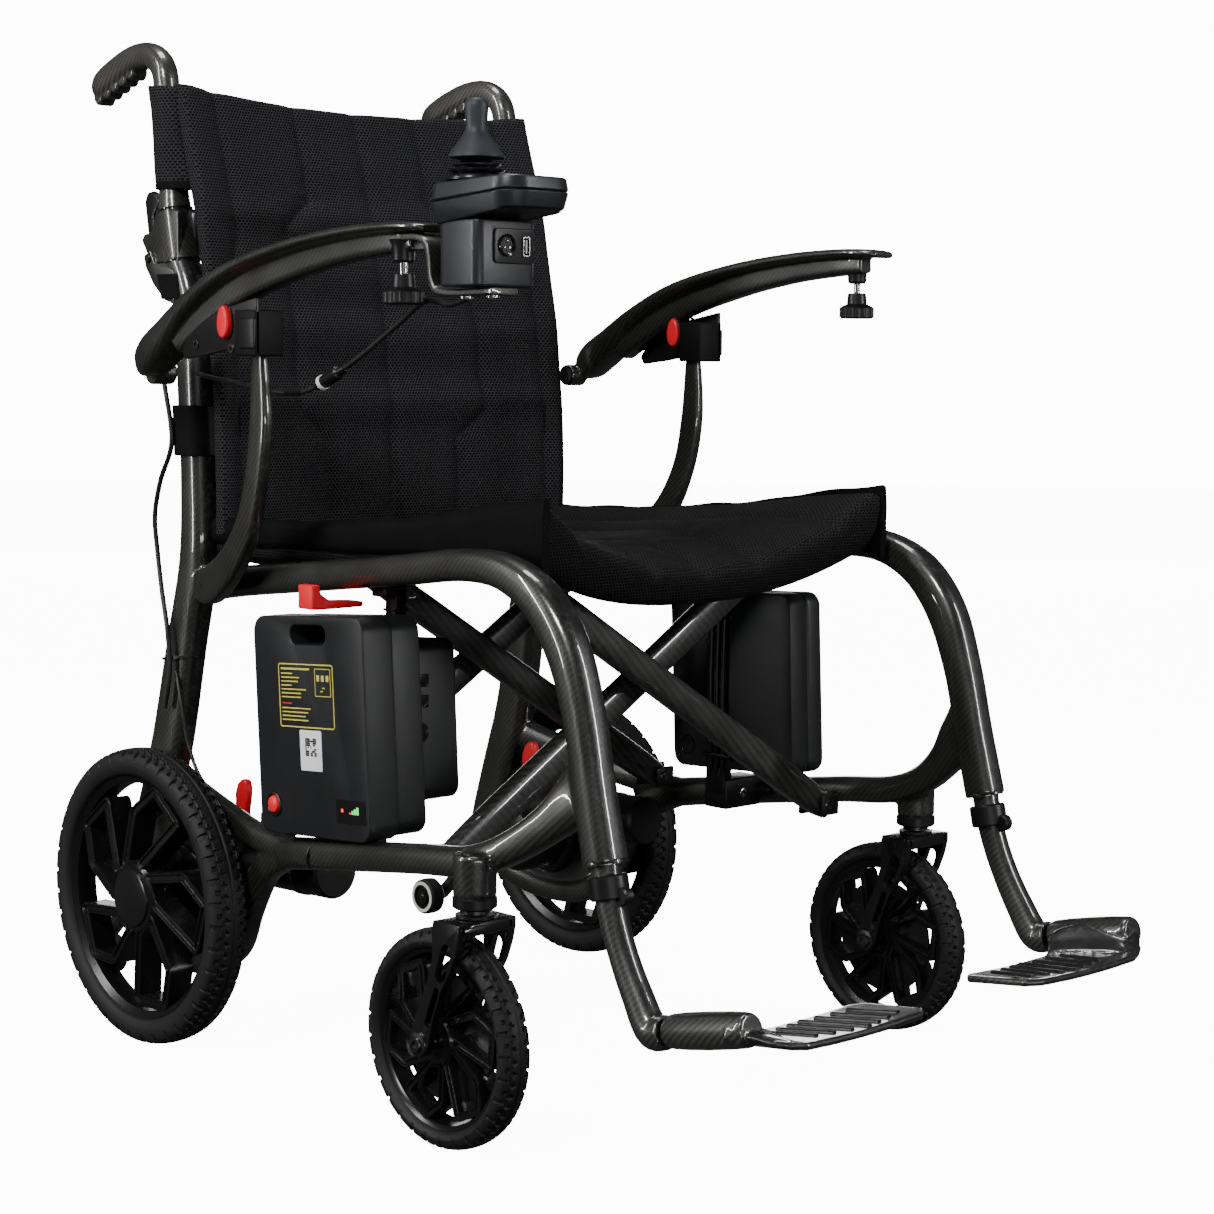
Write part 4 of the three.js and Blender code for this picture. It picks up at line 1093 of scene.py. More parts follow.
def braces(name, sign, bars):
    body = f"{name}_brace"
    tube_x = -SEAT_TUBE_X
    for i, y in enumerate(bars):
        start, end = np.array((236, y, 239)), np.array((tube_x, y, SEAT_TUBE_Z))
        line = lambda t: start + (end - start) * t
        shares = ((-0.02, 8, 11), (0.015, 9.5, 14), (0.5, 9.5, 15), (0.94, 9.5, 13), (0.985, 8, 9))
        stations = [(*line(share), wide, deep) for share, wide, deep in shares]
        bar = loft(stations, sides=32, steps=6, power=3.4, across=(0, 1, 0))
        label = "front" if i == 0 else "rear"
        obj = make(f"{name}_bar_{label}", bar, CARBON_BRACE, sign, angle=40)
        place(obj, body, [f"{name}_brace_{label}"])
        bolt = rod((234, y - 16.5, 240), (234, y + 16.5, 240), 6, 24, 1.2)
        put(body, f"{name}_bar_bolt_{label}", bolt, DARK_STEEL, sign)
    other = "left" if name == "right" else "right"
    seat_tube = rod((tube_x, -494, SEAT_TUBE_Z), (tube_x, -57, SEAT_TUBE_Z), 11, 32, 1.0)
    put(
        body, f"{name}_seat_tube_skin", seat_tube, PAINT, sign, slot="black_metal",
        stands_for=[f"{other}_seat_tube"],
    )
    end_cap = rod((tube_x, -499, SEAT_TUBE_Z), (tube_x, -488, SEAT_TUBE_Z), 12.2, 32, 2.0)
    put(body, f"{name}_tube_cap", end_cap, BLACK, sign)


def brace_mounts(name, sign, bars):
    blocks = []
    for y in bars:
        blocks.append(box((224, 249), (y - 15.5, y - 11.2), (229, 250)))
        blocks.append(box((222, 262), (y + 11.4, y + 17), (228, 250)))
    put(f"{name}_frame", f"{name}_brace_mounts", merged(*blocks), BLACK, sign, 1.4)


# ---- Controller and joystick on the right armrest.


def pad_outline(inset):
    """The pad seen from above: square at the back, round at the front."""
    made = []
    for x, y, corner, start in (
        (336, -592, 24, 270), (336, -482, 16, 0), (258, -482, 16, 90), (258, -592, 24, 180),
    ):
        cx = x - corner if x > 300 else x + corner
        cy = y + corner if y < -550 else y - corner
        for k in range(9):
            angle = math.radians(start + 90 * k / 8)
            reach = corner - inset
            made.append((cx + reach * math.cos(angle), cy + reach * math.sin(angle)))
    return made


def pad_height(y, top):
    """The pad's skin: thick at the back, thin at the front, the bottom sloping up."""
    front = min(max((-y - 484) / 104.0, 0.0), 1.0)
    if top:
        return 836 + 4.0 * math.sin(front * math.pi / 2)
    return 803 + 11 * max(0.0, min(1.0, (front - 0.55) / 0.35))


def pad_shell(inset_low, inset_high, low, high):
    """A band of the pad between two shares of its height."""
    rings = []
    for share, inset in (
        (low, inset_low), (low + 0.04, inset_low - 1.4), (high - 0.04, inset_high - 1.4), (high, inset_high)
    ):
        ring = []
        for x, y in pad_outline(inset):
            z0, z1 = pad_height(y, False), pad_height(y, True)
            ring.append((x, y, z0 + (z1 - z0) * share))
        rings.append(ring)
    return skin(np.array(rings))


def controller():
    body = "right_armrest"
    low = make("pad_lower", pad_shell(5.0, 1.6, 0.0, 0.55), CONTROL, -1, 1.6, 4)
    place(low, body, ["controller_pad"])
    high = make("pad_upper", pad_shell(1.6, 3.4, 0.565, 1.0), CONTROL, -1, 2.2, 4)
    place(high, body)
    base = make(
        "control_base", prism(rounded_at((297, -519), (33, 26), 8), "z", 751, 806), CONTROL, -1, 2.0, 4,
    )
    place(base, body, ["controller_base"])
    panel = make(
        "port_panel", prism(rounded_at((291, 784.5), (22, 14.5), 4), "y", -547.2, -544), BLACK, -1, 0.8,
    )
    place(panel, body)
    port = [(0, 0.4), (7.0, 0.4), (7.0, 1.6), (8.6, 2.2), (9.4, 1.6), (9.4, -1)]
    put(body, "charge_port", lathe(port, (300, -547, 785), (0, -1, 0)), BLACK_GLOSS, -1, closed=False)
    for k in range(3):
        angle = math.radians(90 + 120 * k)
        px, pz = 300 + 3.4 * math.cos(angle), 785 + 3.4 * math.sin(angle)
        pin = rod((px, -546.6, pz), (px, -548.6, pz), 1.1, 16, 0.4)
        put(body, f"charge_pin{k}", pin, STEEL, -1)
    shell = make(
        "usb_shell", prism(rounded_at((279, 784.5), (3.6, 8.2), 1.4), "y", -548.8, -545), STEEL, -1,
    )
    carve(shell, prism(rounded_at((279, 784.5), (2.7, 7.3), 1.0), "y", -552, -547.2), -1)
    place(shell, body)
    put(body, "usb_tongue", box((278.2, 279.4), (-548.4, -546.5), (779, 790)), WHITE, -1)
    boot = [
        (26, 840.2), (26, 842.5), (24.5, 844), (19.5, 845.2), (19, 846), (23.4, 847.6), (23.8, 848.6),
        (23.2, 849.4),
        (17.2, 850.4), (17, 851), (20.4, 852.4), (20.6, 853.4), (20, 854), (14, 855), (12.5, 857),
        (12, 860), (0, 860),
    ]
    boot_shape = lathe([(r, z - 840) for r, z in boot], (*STICK, 840), (0, 0, 1), 72)
    put(
        body, "boot_bellows", boot_shape, BOOT, -1, closed=False, angle=50, slot="black_plastic",
        stands_for=["joystick_boot"],
    )
    stick = [
        (0, 863), (16, 861), (23.2, 858.6), (24, 859.4), (23.6, 861), (17.6, 869.5), (12.6, 876.5),
        (9.6, 881), (9.2, 886),
        (9.8, 896), (10.2, 902), (9.4, 906), (6.6, 908.4), (3, 909), (0, 909),
    ]
    stick_shape = lathe([(r, z - 858) for r, z in stick], (*STICK, 858), (0, 0, 1), 72)
    put(
        "joystick_knob", "stick_cone", stick_shape, SOFT_GREY, -1, angle=50, slot="soft_grey",
        stands_for=["joystick_knob"],
    )
    core = make("gimbal_core", rod((*STICK, 836), (*STICK, 855), 7, 24, 1), DARK_STEEL, -1)
    place(core, "joystick_gimbal", ["joystick_gimbal"])
    for node, x in (("power_key", 284), ("horn_key", 310)):
        key = make(f"{node}_cap", rod((x, -560, 838), (x, -560, 842.4), 6, 40, 0.9), SOFT_GREY, -1)
        place(key, node, [node])
        ring = lathe([(6.3, -0.6), (6.5, 0.5), (7.6, 0.5), (8, -0.4)], (x, -560, 840.2), (0, 0, 1), 40)
        put(body, f"{node}_ring", ring, BLACK_GLOSS, -1, closed=False)
    for k in range(5):
        dot = rod((286 + 5.5 * k, -578, 839.8), (286 + 5.5 * k, -578, 840.6), 1.2, 16, 0.3)
        put(body, f"charge_dot{k}", dot, GREEN_LAMP if k > 1 else RED_LAMP, -1)
    mount = sweep(
        spline(
            [
                (300, -426, 795), (300, -448, 794), (300, -459, 788), (300, -463, 775), (300, -465, 759),
                (300, -470, 750), (300, -482, 747), (300, -545, 747),
            ],
            6,
        ),
        [
            (-2.2, -15), (2.2, -15), (3.0, -13.5), (3.0, 13.5), (2.2, 15), (-2.2, 15), (-3.0, 13.5),
            (-3.0, -13.5),
        ],
    )
    put(body, "mount_plate", mount, CARBON_ARM, -1, 0.8, slot="carbon", stands_for=["controller_mount"])
    for i, y in enumerate((-496, -530)):
        nut = lathe([(0, 3.4), (4.4, 3.4), (5.6, 2.4), (5.6, 0)], (300, y, 744.4), (0, 0, -1), 24)
        put(body, f"mount_nut{i}", nut, STEEL, -1)


def rounded_at(centre, half, corner):
    return [(centre[0] + a, centre[1] + b) for a, b in rounded(half[0], half[1], corner)]


# ---- Battery, dock, control box.

BATTERY = dict(x=256, y=-262, z=349.5, lean=0.065)
CONTROL_BOX = dict(x=237, y=-324, z=358, lean=0.045)
DOCK = dict(x=190, y=-268, z=350, lean=0.06)


def laid(shape, part):
    """A shape drawn about a case's centre, leaned and moved with the case."""
    verts, faces = shape
    return moved(turned(verts, part["lean"]), (part["x"], part["y"], part["z"])), faces


def case_at(part, shift, half, corner):
    return case(part["x"] + shift, part["y"], part["z"], half, corner, part["lean"])


def face_plate(part, half_x, centre, half, corner, depth, rise=0.25):
    """A thin rounded plate lying on a case's outer face."""
    return laid(prism(rounded_at(centre, half, corner), "x", half_x - depth, half_x + rise), part)


def frame_line(part, half_x, centre, half, corner, width):
    """A thin raised line round a rectangle on a case's outer face."""
    outer = rounded_at(centre, half, corner)
    inner = rounded_at(centre, (half[0] - width, half[1] - width), max(corner - width, 0.3))
    low, high = half_x - 0.3, half_x + 0.25
    edges = ((inner, low), (inner, high), (outer, high), (outer, low))
    rings = [[(level, a, b) for a, b in outline] for outline, level in edges]
    return laid(skin(np.array(rings), closed=True), part)


def battery():
    part = BATTERY
    front = make("battery_front", case_at(part, 17, (17, 84, 103.5), 16), CASE, -1)
    hole = laid(prism(rounded_at((-1, 86), (27, 9), 8.5), "x", -60, 60), part)
    carve(front, hole, -1)
    bevelled(front, 3.2, 4)
    place(front, "battery", ["battery"])
    back = make("battery_back", case_at(part, -17.4, (16.8, 82, 101.5), 15), CASE, -1)
    carve(back, hole, -1)
    bevelled(back, 4.5, 4)
    place(back, "battery")
    ink = [
        frame_line(part, 34, (4, 29), (42, 30), 3, 1.1), frame_line(part, 34, (-22, 42), (12, 13), 1, 0.7),
    ]
    ink.append(face_plate(part, 34, (20, 54), (22, 0.9), 0.3, 0.2))
    for top, lengths in ((49.5, (9, 14, 13, 8, 19, 15, 15)), (17, (22, 20, 18, 20))):
        for k, length in enumerate(lengths):
            ink.append(face_plate(part, 34, (42 - length, top - 3.7 * k), (length, 0.55), 0.2, 0.2))
    for k, (a, b) in enumerate(((-29, 46), (-22, 46), (-15, 46), (-23, 37), (-20, 34))):
        ink.append(face_plate(part, 34, (a, b), (2.0, 2.8 if k < 3 else 0.5), 0.4, 0.2))
    put("battery", "label_print", merged(*ink), YELLOW, -1)
    warn = face_plate(part, 34, (34, 21.5), (7.5, 0.6), 0.3, 0.2)
    put("battery", "label_red_line", warn, RED, -1)
    put("battery", "label_sticker", face_plate(part, 34, (0, -22), (16.5, 19), 1.5, 0.2), PAPER, -1)
    squares = []
    for i in range(9):
        for k in range(9):
            corner = (i < 3 or i > 5) and (k < 3 or k > 5) and not (i > 5 and k < 3)
            if corner or rng.random() > 0.5:
                squares.append(
                    face_plate(part, 34.1, (7.5 - 1.9 * i, -26.5 + 1.9 * k), (0.85, 0.85), 0.1, 0.1)
                )
    put("battery", "sticker_squares", merged(*squares), BLACK, -1)
    panel = face_plate(part, 34, (-57, -76), (21.5, 10.8), 1.0, 0.3)
    put("battery", "lamp_panel", panel, BLACK_GLOSS, -1)
    put("battery", "lamp_panel_edge", frame_line(part, 34.1, (-57, -76), (21.9, 11.2), 1.0, 0.5), CAP, -1)
    put("battery", "lamp_red", face_plate(part, 34.2, (-44, -75), (1.8, 1.8), 1.7, 0.1), RED_LAMP, -1)
    for k in range(4):
        bar = face_plate(part, 34.2, (-56 - 3.6 * k, -77 + 0.9 * k), (1.5, 0.8 + 0.9 * k), 0.2, 0.1)
        put("battery", f"lamp_bar{k}", bar, RED_LAMP if k == 0 else GREEN_LAMP, -1)
    where = (290, -206, 270)
    ring = lathe(
        [(8.8, -2), (9.0, 0.6), (10.0, 1.8), (11.6, 1.4), (12.2, 0), (12.2, -2)], where, (1, 0, 0), 56,
    )
    put("battery", "button_ring", ring, BLACK, -1, closed=False)
    cap = lathe([(0, 4.2), (5, 3.9), (7.4, 2.8), (8.4, 0.8), (8.4, -1), (0, -1)], where, (1, 0, 0), 48)
    put("battery_button", "battery_key", cap, RED, -1, slot="red_plastic", stands_for=["battery_button"])
    latch = [
        (232, 459.4), (262, 459), (284, 459), (292, 459.5), (292, 482), (283, 482.5), (281, 474),
        (270, 466.5),
        (232, 464.6),
    ]
    put(
        "battery_latch", "latch_lever", prism(latch, "y", -268, -246), RED, -1, 1.6, 4, slot="red_plastic",
        stands_for=["battery_latch"],
    )


def dock():
    base = make("dock_case", case_at(DOCK, 0, (30.5, 52, 76), 13), CASE, -1, 3.0, 4)
    place(base, "right_frame", ["battery_dock"])
    plate = case(219, -266, 348, (2.2, 66, 78), 12, DOCK["lean"])
    put("right_frame", "dock_plate", plate, BLACK, -1, 1.2)
    slots = [box((196, 214), (-321.5, -318), (z - 6, z + 6)) for z in (392, 372, 306)]
    slots.append(box((208, 213), (-322.4, -318), (300, 400)))
    put("right_frame", "dock_slots", merged(*slots), BLACK_GLOSS, -1, 0.8)
    round_latch = lathe(
        [(0, 3), (5, 3), (6.5, 1.5), (9.5, 1.4), (10, 0), (10, -2)], (206, -320.4, 343), (0, -1, 0), 32,
    )
    put("right_frame", "dock_round_latch", round_latch, BLACK_GLOSS, -1)
    foot = merged(box((216, 224), (-282, -254), (236, 300)), box((216, 262), (-284, -252), (226, 239)))
    put("right_frame", "dock_foot", foot, BLACK, -1, 1.2)
    post = merged(box((205, 219), (-300, -284), (404, 478)), box((205, 232), (-300, -280), (470, 480)))
    put("right_frame", "dock_post", post, BLACK, -1, 1.6)
    ribs = [box((203.6, 220.4), (-301.2, -282.8), (z, z + 2.4)) for z in (440, 448, 456)]
    put("right_frame", "dock_post_ribs", merged(*ribs), BLACK, -1, 0.6)


def control_box():
    half = (12.3, 86, 94)
    shell = make("box_lid", case_at(CONTROL_BOX, 12.7, half, 14), CASE, 1, 5.5, 4)
    place(shell, "left_frame", ["control_box"])
    back = make("box_back", case_at(CONTROL_BOX, -12.7, half, 14), CASE, 1, 1.5, 3)
    place(back, "left_frame")
    for k, y in enumerate((-300, -309, -318)):
        path = [
            (208.6, y, 440), (208, y, 420), (207.6, y + 1, 360), (208.4, y + 1, 300), (211, y + 3, 268),
            (214, y + 8, 250),
        ]
        put("left_frame", f"box_cable{k}", tube(path, 3.2 - 0.4 * k), CABLE)
    clip = [box((205, 213), (-330, -292), (z, z + 5)) for z in (424, 276)]
    put("left_frame", "box_cable_clips", merged(*clip), BLACK, 1, 1.0)
    stub = [box((206.5, 213), (-322 + 9 * k, -316 + 9 * k), (436, 447)) for k in range(3)]
    put("left_frame", "box_plugs", merged(*stub), BLACK_GLOSS, 1, 1.0)
    clamp = merged(box((214, 268), (-318, -286), (220, 252)), box((212, 226), (-315, -289), (236, 280)))
    put("left_frame", "box_clamp", clamp, BLACK, 1, 2.0)
    put("left_frame", "box_clamp_screw", screw((240, -318.2, 236), (0, -1, 0), 5.0), STEEL)
    seal = lathe(
        [(0, 0.8), (5, 0.8), (5.4, 0.2), (9, 0.2), (9.6, 1.2), (10.6, 1.2), (11, -0.5)], (212, -262, 284),
        (-1, 0, 0), 40,
    )
    put("left_frame", "box_seal", seal, BLACK_GLOSS)
    put("left_frame", "box_screw", screw((212, -248, 272), (-1, 0, 0), 3.2), DARK_STEEL)


# ---- Cloth.

# The sheets' spans in millimetres: height on the back, distance forward on the seat, and half width.
BACK_LOW, BACK_HIGH, BACK_HALF = 514, 966, 233
SEAT_REAR, SEAT_FRONT, SEAT_HALF = 20, 517, 227
SIM_GRID = (44, 46)
SEAT_SIDE = ((20, 531), (120, 533), (164, 534), (318, 545), (431, 561), (500, 570), (517, 572))
SEAT_MIDDLE = ((20, 530), (160, 535), (332, 536), (420, 530), (470, 518), (490, 509), (517, 500))
BACK_LINE = ((514, -37), (549, -37), (649, -34), (728, -24), (790, -13), (840, -3), (900, 14), (966, 33))


def table(pairs, value):
    return np.interp(value, [p[0] for p in pairs], [p[1] for p in pairs])


def drape(name, grid, frames, gravity, stiffness):
    """Settles a grid of points, rows x columns x 3, as cloth held by its two outer columns a side."""
    rows, columns = grid.shape[:2]
    verts, faces = [row(p) for p in grid.reshape(-1, 3)], []
    for i in range(rows - 1):
        for k in range(columns - 1):
            a = i * columns + k
            faces.append((a, a + 1, a + columns + 1, a + columns))
    mesh = bpy.data.meshes.new(name)
    mesh.from_pydata(verts, [], faces)
    obj = linked(name, mesh)
    pins = obj.vertex_groups.new(name="pins")
    held = (0, 1, columns - 2, columns - 1)
    pins.add([i * columns + k for i in range(rows) for k in held], 1.0, "REPLACE")
    cloth = obj.modifiers.new("cloth", "CLOTH")
    cloth.settings.vertex_group_mass = "pins"
    cloth.settings.mass = 0.35
    cloth.settings.quality = 6
    cloth.settings.tension_stiffness = stiffness
    cloth.settings.compression_stiffness = stiffness
    cloth.settings.shear_stiffness = stiffness * 0.4
    cloth.settings.bending_stiffness = 6.0
    cloth.point_cache.frame_start, cloth.point_cache.frame_end = 1, frames
    scene = bpy.context.scene
    keep = tuple(scene.gravity)
    scene.gravity = gravity
    for frame_number in range(1, frames + 1):
        scene.frame_set(frame_number)
    bake(obj)
    settled = np.array([v.co for v in obj.data.vertices]) * 1000
    bpy.data.objects.remove(obj)
    scene.gravity = keep
    scene.frame_set(1)
    return (settled - (0, CENTRE_Y, 0)).reshape(rows, columns, 3)


def refine(grid, rows, columns):
    """A smooth finer grid through the settled one."""
    def one(values, count, axis):
        at = np.linspace(0, values.shape[axis] - 1, count)
        low = np.clip(np.floor(at).astype(int), 0, values.shape[axis] - 2)
        t = at - low
        shape = [1, 1, 1]
        shape[axis] = -1
        t = t.reshape(shape)
        take = lambda k: np.take(values, np.clip(low + k, 0, values.shape[axis] - 1), axis)
        p0, p1, p2, p3 = take(-1), take(0), take(1), take(2)
        return p1 + 0.5 * t * (
            p2 - p0 + t * (2 * p0 - 5 * p1 + 4 * p2 - p3 + t * (3 * (p1 - p2) + p3 - p0))
        )

    return one(one(grid, rows, 0), columns, 1)


def seam_distance(u, v, seams):
    """Distance in millimetres from each point (u, v) to the nearest of some polylines."""
    best = np.full(u.shape, 1e9)
    for line in seams:
        for (ua, va), (ub, vb) in zip(line, line[1:]):
            length = (ub - ua) ** 2 + (vb - va) ** 2
            t = np.clip(((u - ua) * (ub - ua) + (v - va) * (vb - va)) / length, 0, 1)
            best = np.minimum(best, np.hypot(u - ua - t * (ub - ua), v - va - t * (vb - va)))
    return best


def normals_of(grid):
    return unit(np.cross(np.gradient(grid, axis=1), np.gradient(grid, axis=0)))


def rolled(distance, width):
    """0 at an edge and 1 past a width from it, along a quarter circle."""
    share = np.clip(distance / width, 0, 1)
    return np.sqrt(share * (2 - share))


def seam_lines(middle, *lines):
    """A middle seam, and lines with their mirror images."""
    return [middle] + [[(side * u, v) for u, v in line] for line in lines for side in (1, -1)]


def padded_sheet(front, back):
    """Two grids of equal size, joined along their borders into one closed skin."""
    rows, columns = front.shape[:2]
    verts = np.vstack([front.reshape(-1, 3), back.reshape(-1, 3)])
    faces, lower = [], rows * columns
    for i in range(rows - 1):
        for k in range(columns - 1):
            a = i * columns + k
            faces.append((a, a + 1, a + columns + 1, a + columns))
            faces.append((lower + a + columns, lower + a + columns + 1, lower + a + 1, lower + a))
    border = list(range(columns)) + [i * columns + columns - 1 for i in range(1, rows)]
    border += [(rows - 1) * columns + k for k in range(columns - 2, -1, -1)]
    border += [i * columns for i in range(rows - 2, 0, -1)]
    for a, b in zip(border, border[1:] + border[:1]):
        faces.append((b, a, lower + a, lower + b))
    return verts, faces


def back_point(x, z, sag):
    """The back sheet: a shallow hollow between the posts, its sides wrapping towards them."""
    s = abs(x) / 232
    y = table(BACK_LINE, z)
    return (x, y + sag * (1 - s**2) + 5 * s**6, z)


def back_panels():
    rows, columns = SIM_GRID
    zs, xs = np.linspace(BACK_LOW, BACK_HIGH, rows), np.linspace(-BACK_HALF, BACK_HALF, columns)

    def point(x, z):
        dip = 6 * (1 - (x / BACK_HALF) ** 2) * (z > 900)
        return back_point(x, z - dip, 2)

    grid = np.array([[point(x, z) for x in xs] for z in zs])
    fine_rows, fine_columns = 452, 330
    fine = refine(drape("back_sheet", grid, 26, (0, 3.5, -2.0), 30), fine_rows, fine_columns)
    zs, xs = np.linspace(BACK_LOW, BACK_HIGH, fine_rows), np.linspace(-BACK_HALF, BACK_HALF, fine_columns)
    z_rest, x_rest = np.meshgrid(zs, xs, indexing="ij")
    side = [(190, 970), (190, 812), (206, 770), (210, 510)]
    jog = [(82, 970), (82, 857), (121, 832), (126, 641), (89, 606), (89, 510)]
    seams = seam_lines([(0, 970), (0, 510)], jog, side)
    split = 274
    for half, part in (("lower", slice(0, split + 1)), ("upper", slice(split, fine_rows))):
        uv = (x_rest[part], z_rest[part])
        obj = quilt_part(f"back_{half}_panel", fine[part], uv, seams, half == "upper")
        place(obj, f"back_{half}", [f"back_fabric_{half}"])
        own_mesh(obj)


def quilt_part(name, grid, uv, seams, upper):
    """One of the two back panels; the edge where they meet stays full."""
    rows, columns = grid.shape[:2]
    u, v = uv
    out = -normals_of(grid)
    if out[rows // 2, columns // 2, 1] > 0:
        out = -out
    swell = 1 - np.exp(-((seam_distance(u, v, seams) / 9.0) ** 1.4))
    pillow = 0.5 + 0.5 * np.sin((v - 540) / 452 * 2 * np.pi * 3.2 + 0.7 * np.sin(u * 0.02))
    outer = (BACK_HIGH - v) if upper else (v - BACK_LOW)
    rim = rolled(np.minimum(np.minimum(u - u.min(), u.max() - u), outer), 9.0)
    fill = 6.0 + 5.0 * swell + 1.6 * pillow * swell
    front = grid + out * (fill * rim + 1.0)[..., None]
    back = grid - out * (4.0 * rim + 1.0 + 1.5 * swell * rim)[..., None]
    return make(name, padded_sheet(front, back), MESH, angle=60)


def back_sleeves(name, sign):
    """The cloth sleeve round each upper post and the flap that joins it to the panel."""
    rings = []
    for share in np.linspace(0, 1, 40):
        z = 862 + 104 * share
        y = 45 + 12.5 * share
        ring = []
        for k in range(40):
            angle = 2 * math.pi * k / 40
            a, b = math.cos(angle), math.sin(angle)
            fold = 0.6 * math.sin(3 * angle + 5 * share) + 0.4 * math.sin(7 * angle - 9 * share)
            front = max(0.0, -b)
            ring.append(
                (229.5 + (17 + fold) * a - 6 * front, y + (20 + fold) * b - 8 * front, z + 2.0 * b * share)
            )
        rings.append(ring)
    obj = make(f"{name}_sleeve", skin(np.array(rings)), MESH, sign, 1.4)
    place(obj, f"{name}_back")
    grown = np.array([[(x, y, z) for x, y, _ in rings[0]] for z in (862, 870)])
    centre = grown.mean(1, keepdims=True)
    grown[:, :, :2] = centre[:, :, :2] + (grown - centre)[:, :, :2] * 1.03
    put(f"{name}_back", f"{name}_sleeve_hem", skin(grown), STRAP, sign, 0.8)


def seat_point(s, t):
    """The seat sheet: low in the middle, its front edge drawn back between the corners."""
    side, middle = table(SEAT_SIDE, t), table(SEAT_MIDDLE, t)
    z = middle + (side - middle) * abs(s) ** 2.2
    front = max(0.0, (t - 400) / 117)
    y = -t + front * 27 * (1 - abs(s) ** 2.0)
    return (SEAT_HALF * s, y, z - 17)


def seat_panel():
    rows, columns = SIM_GRID
    ts, ss = np.linspace(SEAT_REAR, SEAT_FRONT, rows), np.linspace(-1, 1, columns)
    grid = np.array([[seat_point(s, t) for s in ss] for t in ts])
    rows, columns = 400, 360
    fine = refine(drape("seat_sheet", grid, 24, (0, 0, -9.8), 26), rows, columns)
    ts, ss = np.linspace(SEAT_REAR, SEAT_FRONT, rows), np.linspace(-SEAT_HALF, SEAT_HALF, columns)
    t_rest, s_rest = np.meshgrid(ts, ss, indexing="ij")
    side = [(176, 10), (176, 530)]
    jog = [(70, 10), (70, 120), (112, 160), (112, 350), (72, 390), (72, 530)]
    seams = seam_lines([(0, 10), (0, 530)], jog, side)
    swell = 1 - np.exp(-((seam_distance(s_rest, t_rest, seams) / 11.0) ** 1.4))
    roll = rolled(SEAT_FRONT - t_rest, 16)
    side_roll = rolled(SEAT_HALF - np.abs(s_rest), 8)
    up = normals_of(fine)
    if up[rows // 2, columns // 2, 2] < 0:
        up = -up
    lift = (9 + 6 * swell) * np.minimum(roll, side_roll) + 1
    front = np.clip((t_rest - 380) / 120, 0, 1)
    corner = 15 * (np.abs(s_rest) / SEAT_HALF) ** 1.5 * front
    drop = (22 + corner) * roll * (0.35 + 0.65 * side_roll) + 1
    verts, faces = padded_sheet(fine + up * lift[..., None], fine - up * drop[..., None])
    verts[:, 0] = np.clip(verts[:, 0], -SEAT_HALF - 1, SEAT_HALF + 1)
    # The seat wears the darker copy of the mesh, painted shade on its upward-facing top.
    obj = make("seat_cushion", (verts, faces), SHADED_SEAT_MESH, angle=60)
    place(obj, "seat", ["seat_sling"])
    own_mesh(obj)


def seat_bands(name, sign):
    """The smooth side of the seat, a thin closed strip with a soft belly."""
    rings = []
    for t in np.linspace(SEAT_REAR + 1, SEAT_FRONT, 90):
        high = table(SEAT_SIDE, t) + 1.2 * math.sin(t * 0.06) * math.sin(t * 0.017)
        low = np.interp(t, (20, 420, 517), (503, 511, 500)) + 0.8 * math.sin(t * 0.045)
        belly = 3.2 + 1.0 * math.sin(t * 0.032 + 1)
        ring = [
            (222, high - 1), (226, high + 0.5), (229.5, high - 2.5),
            (230 + belly * 0.6, high * 0.7 + low * 0.3),
            (230 + belly * 0.3, (high + low) / 2), (229 + belly, low * 0.75 + high * 0.25), (229, low + 2),
            (226, low), (222, low + 2),
        ]
        rings.append([(x, -t, z) for x, z in ring])
    band = make(f"{name}_seat_band", skin(np.array(rings)), BAND, sign, angle=60)
    place(band, "seat")
    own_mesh(band)


# ---- Leads.

CONTROL_LEAD = [
    (288, -486, 743), (284, -456, 738), (276, -414, 742), (266, -362, 722), (262, -282, 684),
    (262, -214, 660),
    (262, -150, 662), (256, -95, 668), (250, -50, 672), (243, -22, 675), (234, 4, 677),
]
MOTOR_LEAD = [
    (251, 34, 668), (252, 20, 606), (250, 44, 566), (249, 56, 530), (249, 52, 495), (252, 40, 455),
    (256, 24, 412),
    (257, 20, 373), (259, 26, 335),
]


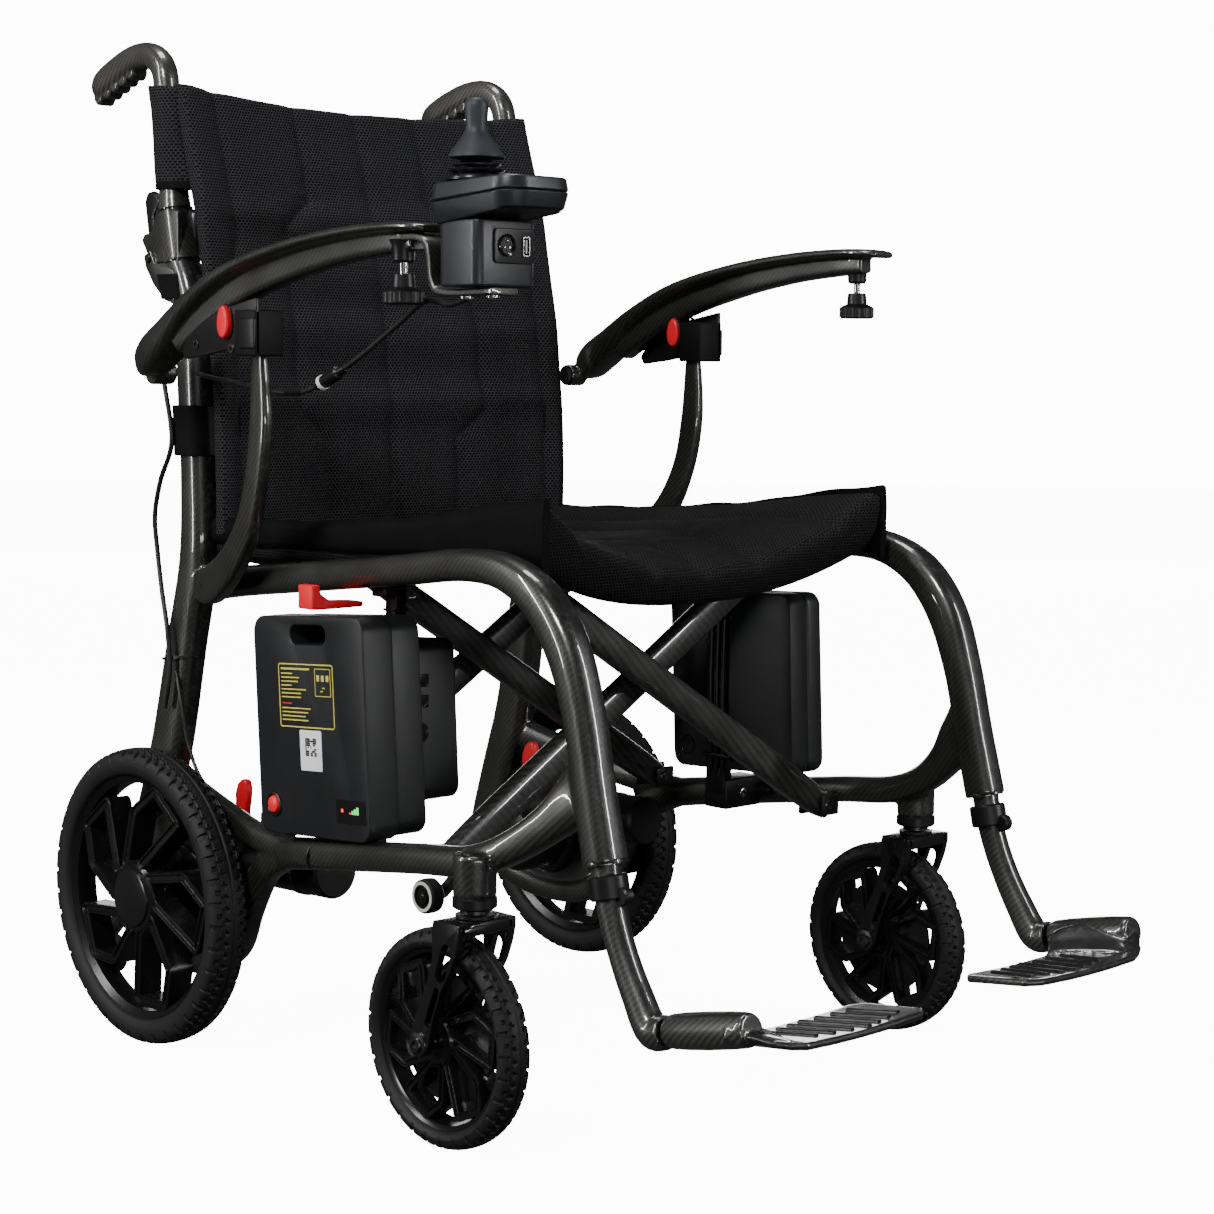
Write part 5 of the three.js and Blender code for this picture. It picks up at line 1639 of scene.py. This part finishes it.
def leads():
    lead = make("control_lead_run", tube(CONTROL_LEAD, 2.6, 14), CABLE, -1)
    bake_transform(lead)
    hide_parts("controller_lead")
    body = "right_frame"
    motor = make("motor_lead_run", tube(MOTOR_LEAD, 2.6, 14), CABLE, -1)
    place(motor, body, ["motor_lead"])
    thin = [
        (250, 18, 372), (253, 4, 340), (252, -6, 300), (251, -26, 268), (246, -58, 248), (232, -84, 236),
    ]
    put(body, "thin_lead", tube(thin, 2.0, 10), CABLE, -1)
    tie = lathe(
        [(17.5, -1.5), (19.5, -1.5), (19.5, 1.5), (17.5, 1.5), (17.5, -1.5)], (236, 26, 386), (0, 0.2, 1),
        48,
    )
    verts = np.array(tie[0])
    verts[:, 1] = 26 + (verts[:, 1] - 26) * 1.36
    put(body, "lead_tie", (verts, tie[1]), BLACK, -1)
    path = spline(CONTROL_LEAD, 14)[:, :3]
    held = path[56:66]
    direction = unit(held[-1] - held[0])
    centre = held.mean(0)
    barrel = [
        (0, -22), (3.4, -22), (4.2, -16), (4.4, -12), (6.4, -10), (6.6, 14), (5, 17), (3.4, 26), (0, 26),
    ]
    plug = make("lead_plug", lathe(barrel, centre, direction, 32), BLACK, -1)
    place(plug, "right_armrest")
    ring = [(6.4, 12.5), (7.1, 13), (7.1, 17), (5.2, 17.6), (5, 12.5)]
    ring_piece = make("lead_plug_ring", lathe(ring, centre, direction, 32), WHITE, -1, closed=False)
    place(ring_piece, "right_armrest")


# ---- Build.

add_camera()
PAIRED = (
    side_frames, straps, drive_units, anti_tip, rear_wheels, casters, footrests, back_posts, armrests,
    back_sleeves,
)
for side_name, side_sign in SIDES:
    for build in PAIRED:
        build(side_name, side_sign)
for side_name, side_sign in SIDES:
    braces(side_name, side_sign, BARS[side_name])
    brace_mounts(side_name, side_sign, BARS[side_name])
controller()
battery()
dock()
control_box()
back_panels()
seat_panel()
for side_name, side_sign in SIDES:
    seat_bands(side_name, side_sign)
leads()

# ---- Studio.


def glowing(name, colour, strength):
    """A bright matt surface for the surroundings."""
    s = Shader(name, 0.9, Specular_IOR_Level=0.0)
    s.set("Base Color", s.mix(s.noise(3.0), colour, tuple(0.98 * c for c in colour)))
    s.set("Emission Color", (1, 1, 1, 1))
    s.set("Emission Strength", strength)
    return s.material


def surroundings(name, verts, faces, material):
    """A staged surface the camera sees and reflections do not."""
    mesh = bpy.data.meshes.new(name)
    mesh.from_pydata(verts, [], faces)
    mesh.materials.append(material)
    obj = linked(name, mesh)
    obj.visible_diffuse = False
    obj.visible_glossy = False
    obj.visible_shadow = False


def dome(radius, high):
    """The inside of a tall round wall with a ceiling."""
    base = [(radius * math.cos(k * math.pi / 24), radius * math.sin(k * math.pi / 24)) for k in range(48)]
    verts = [(x, y, -0.5) for x, y in base] + [(x, y, high) for x, y in base]
    faces = [(k, 48 + k, 48 + (k + 1) % 48, (k + 1) % 48) for k in range(48)]
    return verts, faces + [tuple(range(48, 96))]


FLOOR = glowing("floor_paper", (0.8, 0.8, 0.8), 12.0)
WALL = glowing("wall_paper", (0.8, 0.8, 0.8), 13.0)
surroundings("floor", [(-14, -14, 0), (14, -14, 0), (14, 14, 0), (-14, 14, 0)], [(0, 1, 2, 3)], FLOOR)
surroundings("wall", *dome(13.0, 9.0), WALL)
add_world(0.05)
# Each light: name, place, aim, size in metres, watts.
LIGHTS = (
    ("key", (-3.4, -1.2, 3.2), (0, 0, 0.5), (0.8, 0.8), 150),
    ("strip_left", (-3.0, 1.6, 1.5), (0, 0.1, 0.5), (0.13, 2.6), 95),
    ("strip_front", (1.6, -3.2, 1.7), (0, 0, 0.5), (0.13, 2.4), 90),
    ("top", (0, 0.4, 3.6), (0, 0, 0), (1.6, 0.8), 60),
    ("low", (-1.6, -3.2, 0.25), (0, 0, 0.5), (2.0, 0.2), 26),
    ("behind", (4.6, 4.8, 0.8), (0, 0, 0.3), (4.5, 0.9), 52),
)
for light in LIGHTS:
    add_light(*light)
bpy.data.objects["behind"].visible_camera = False
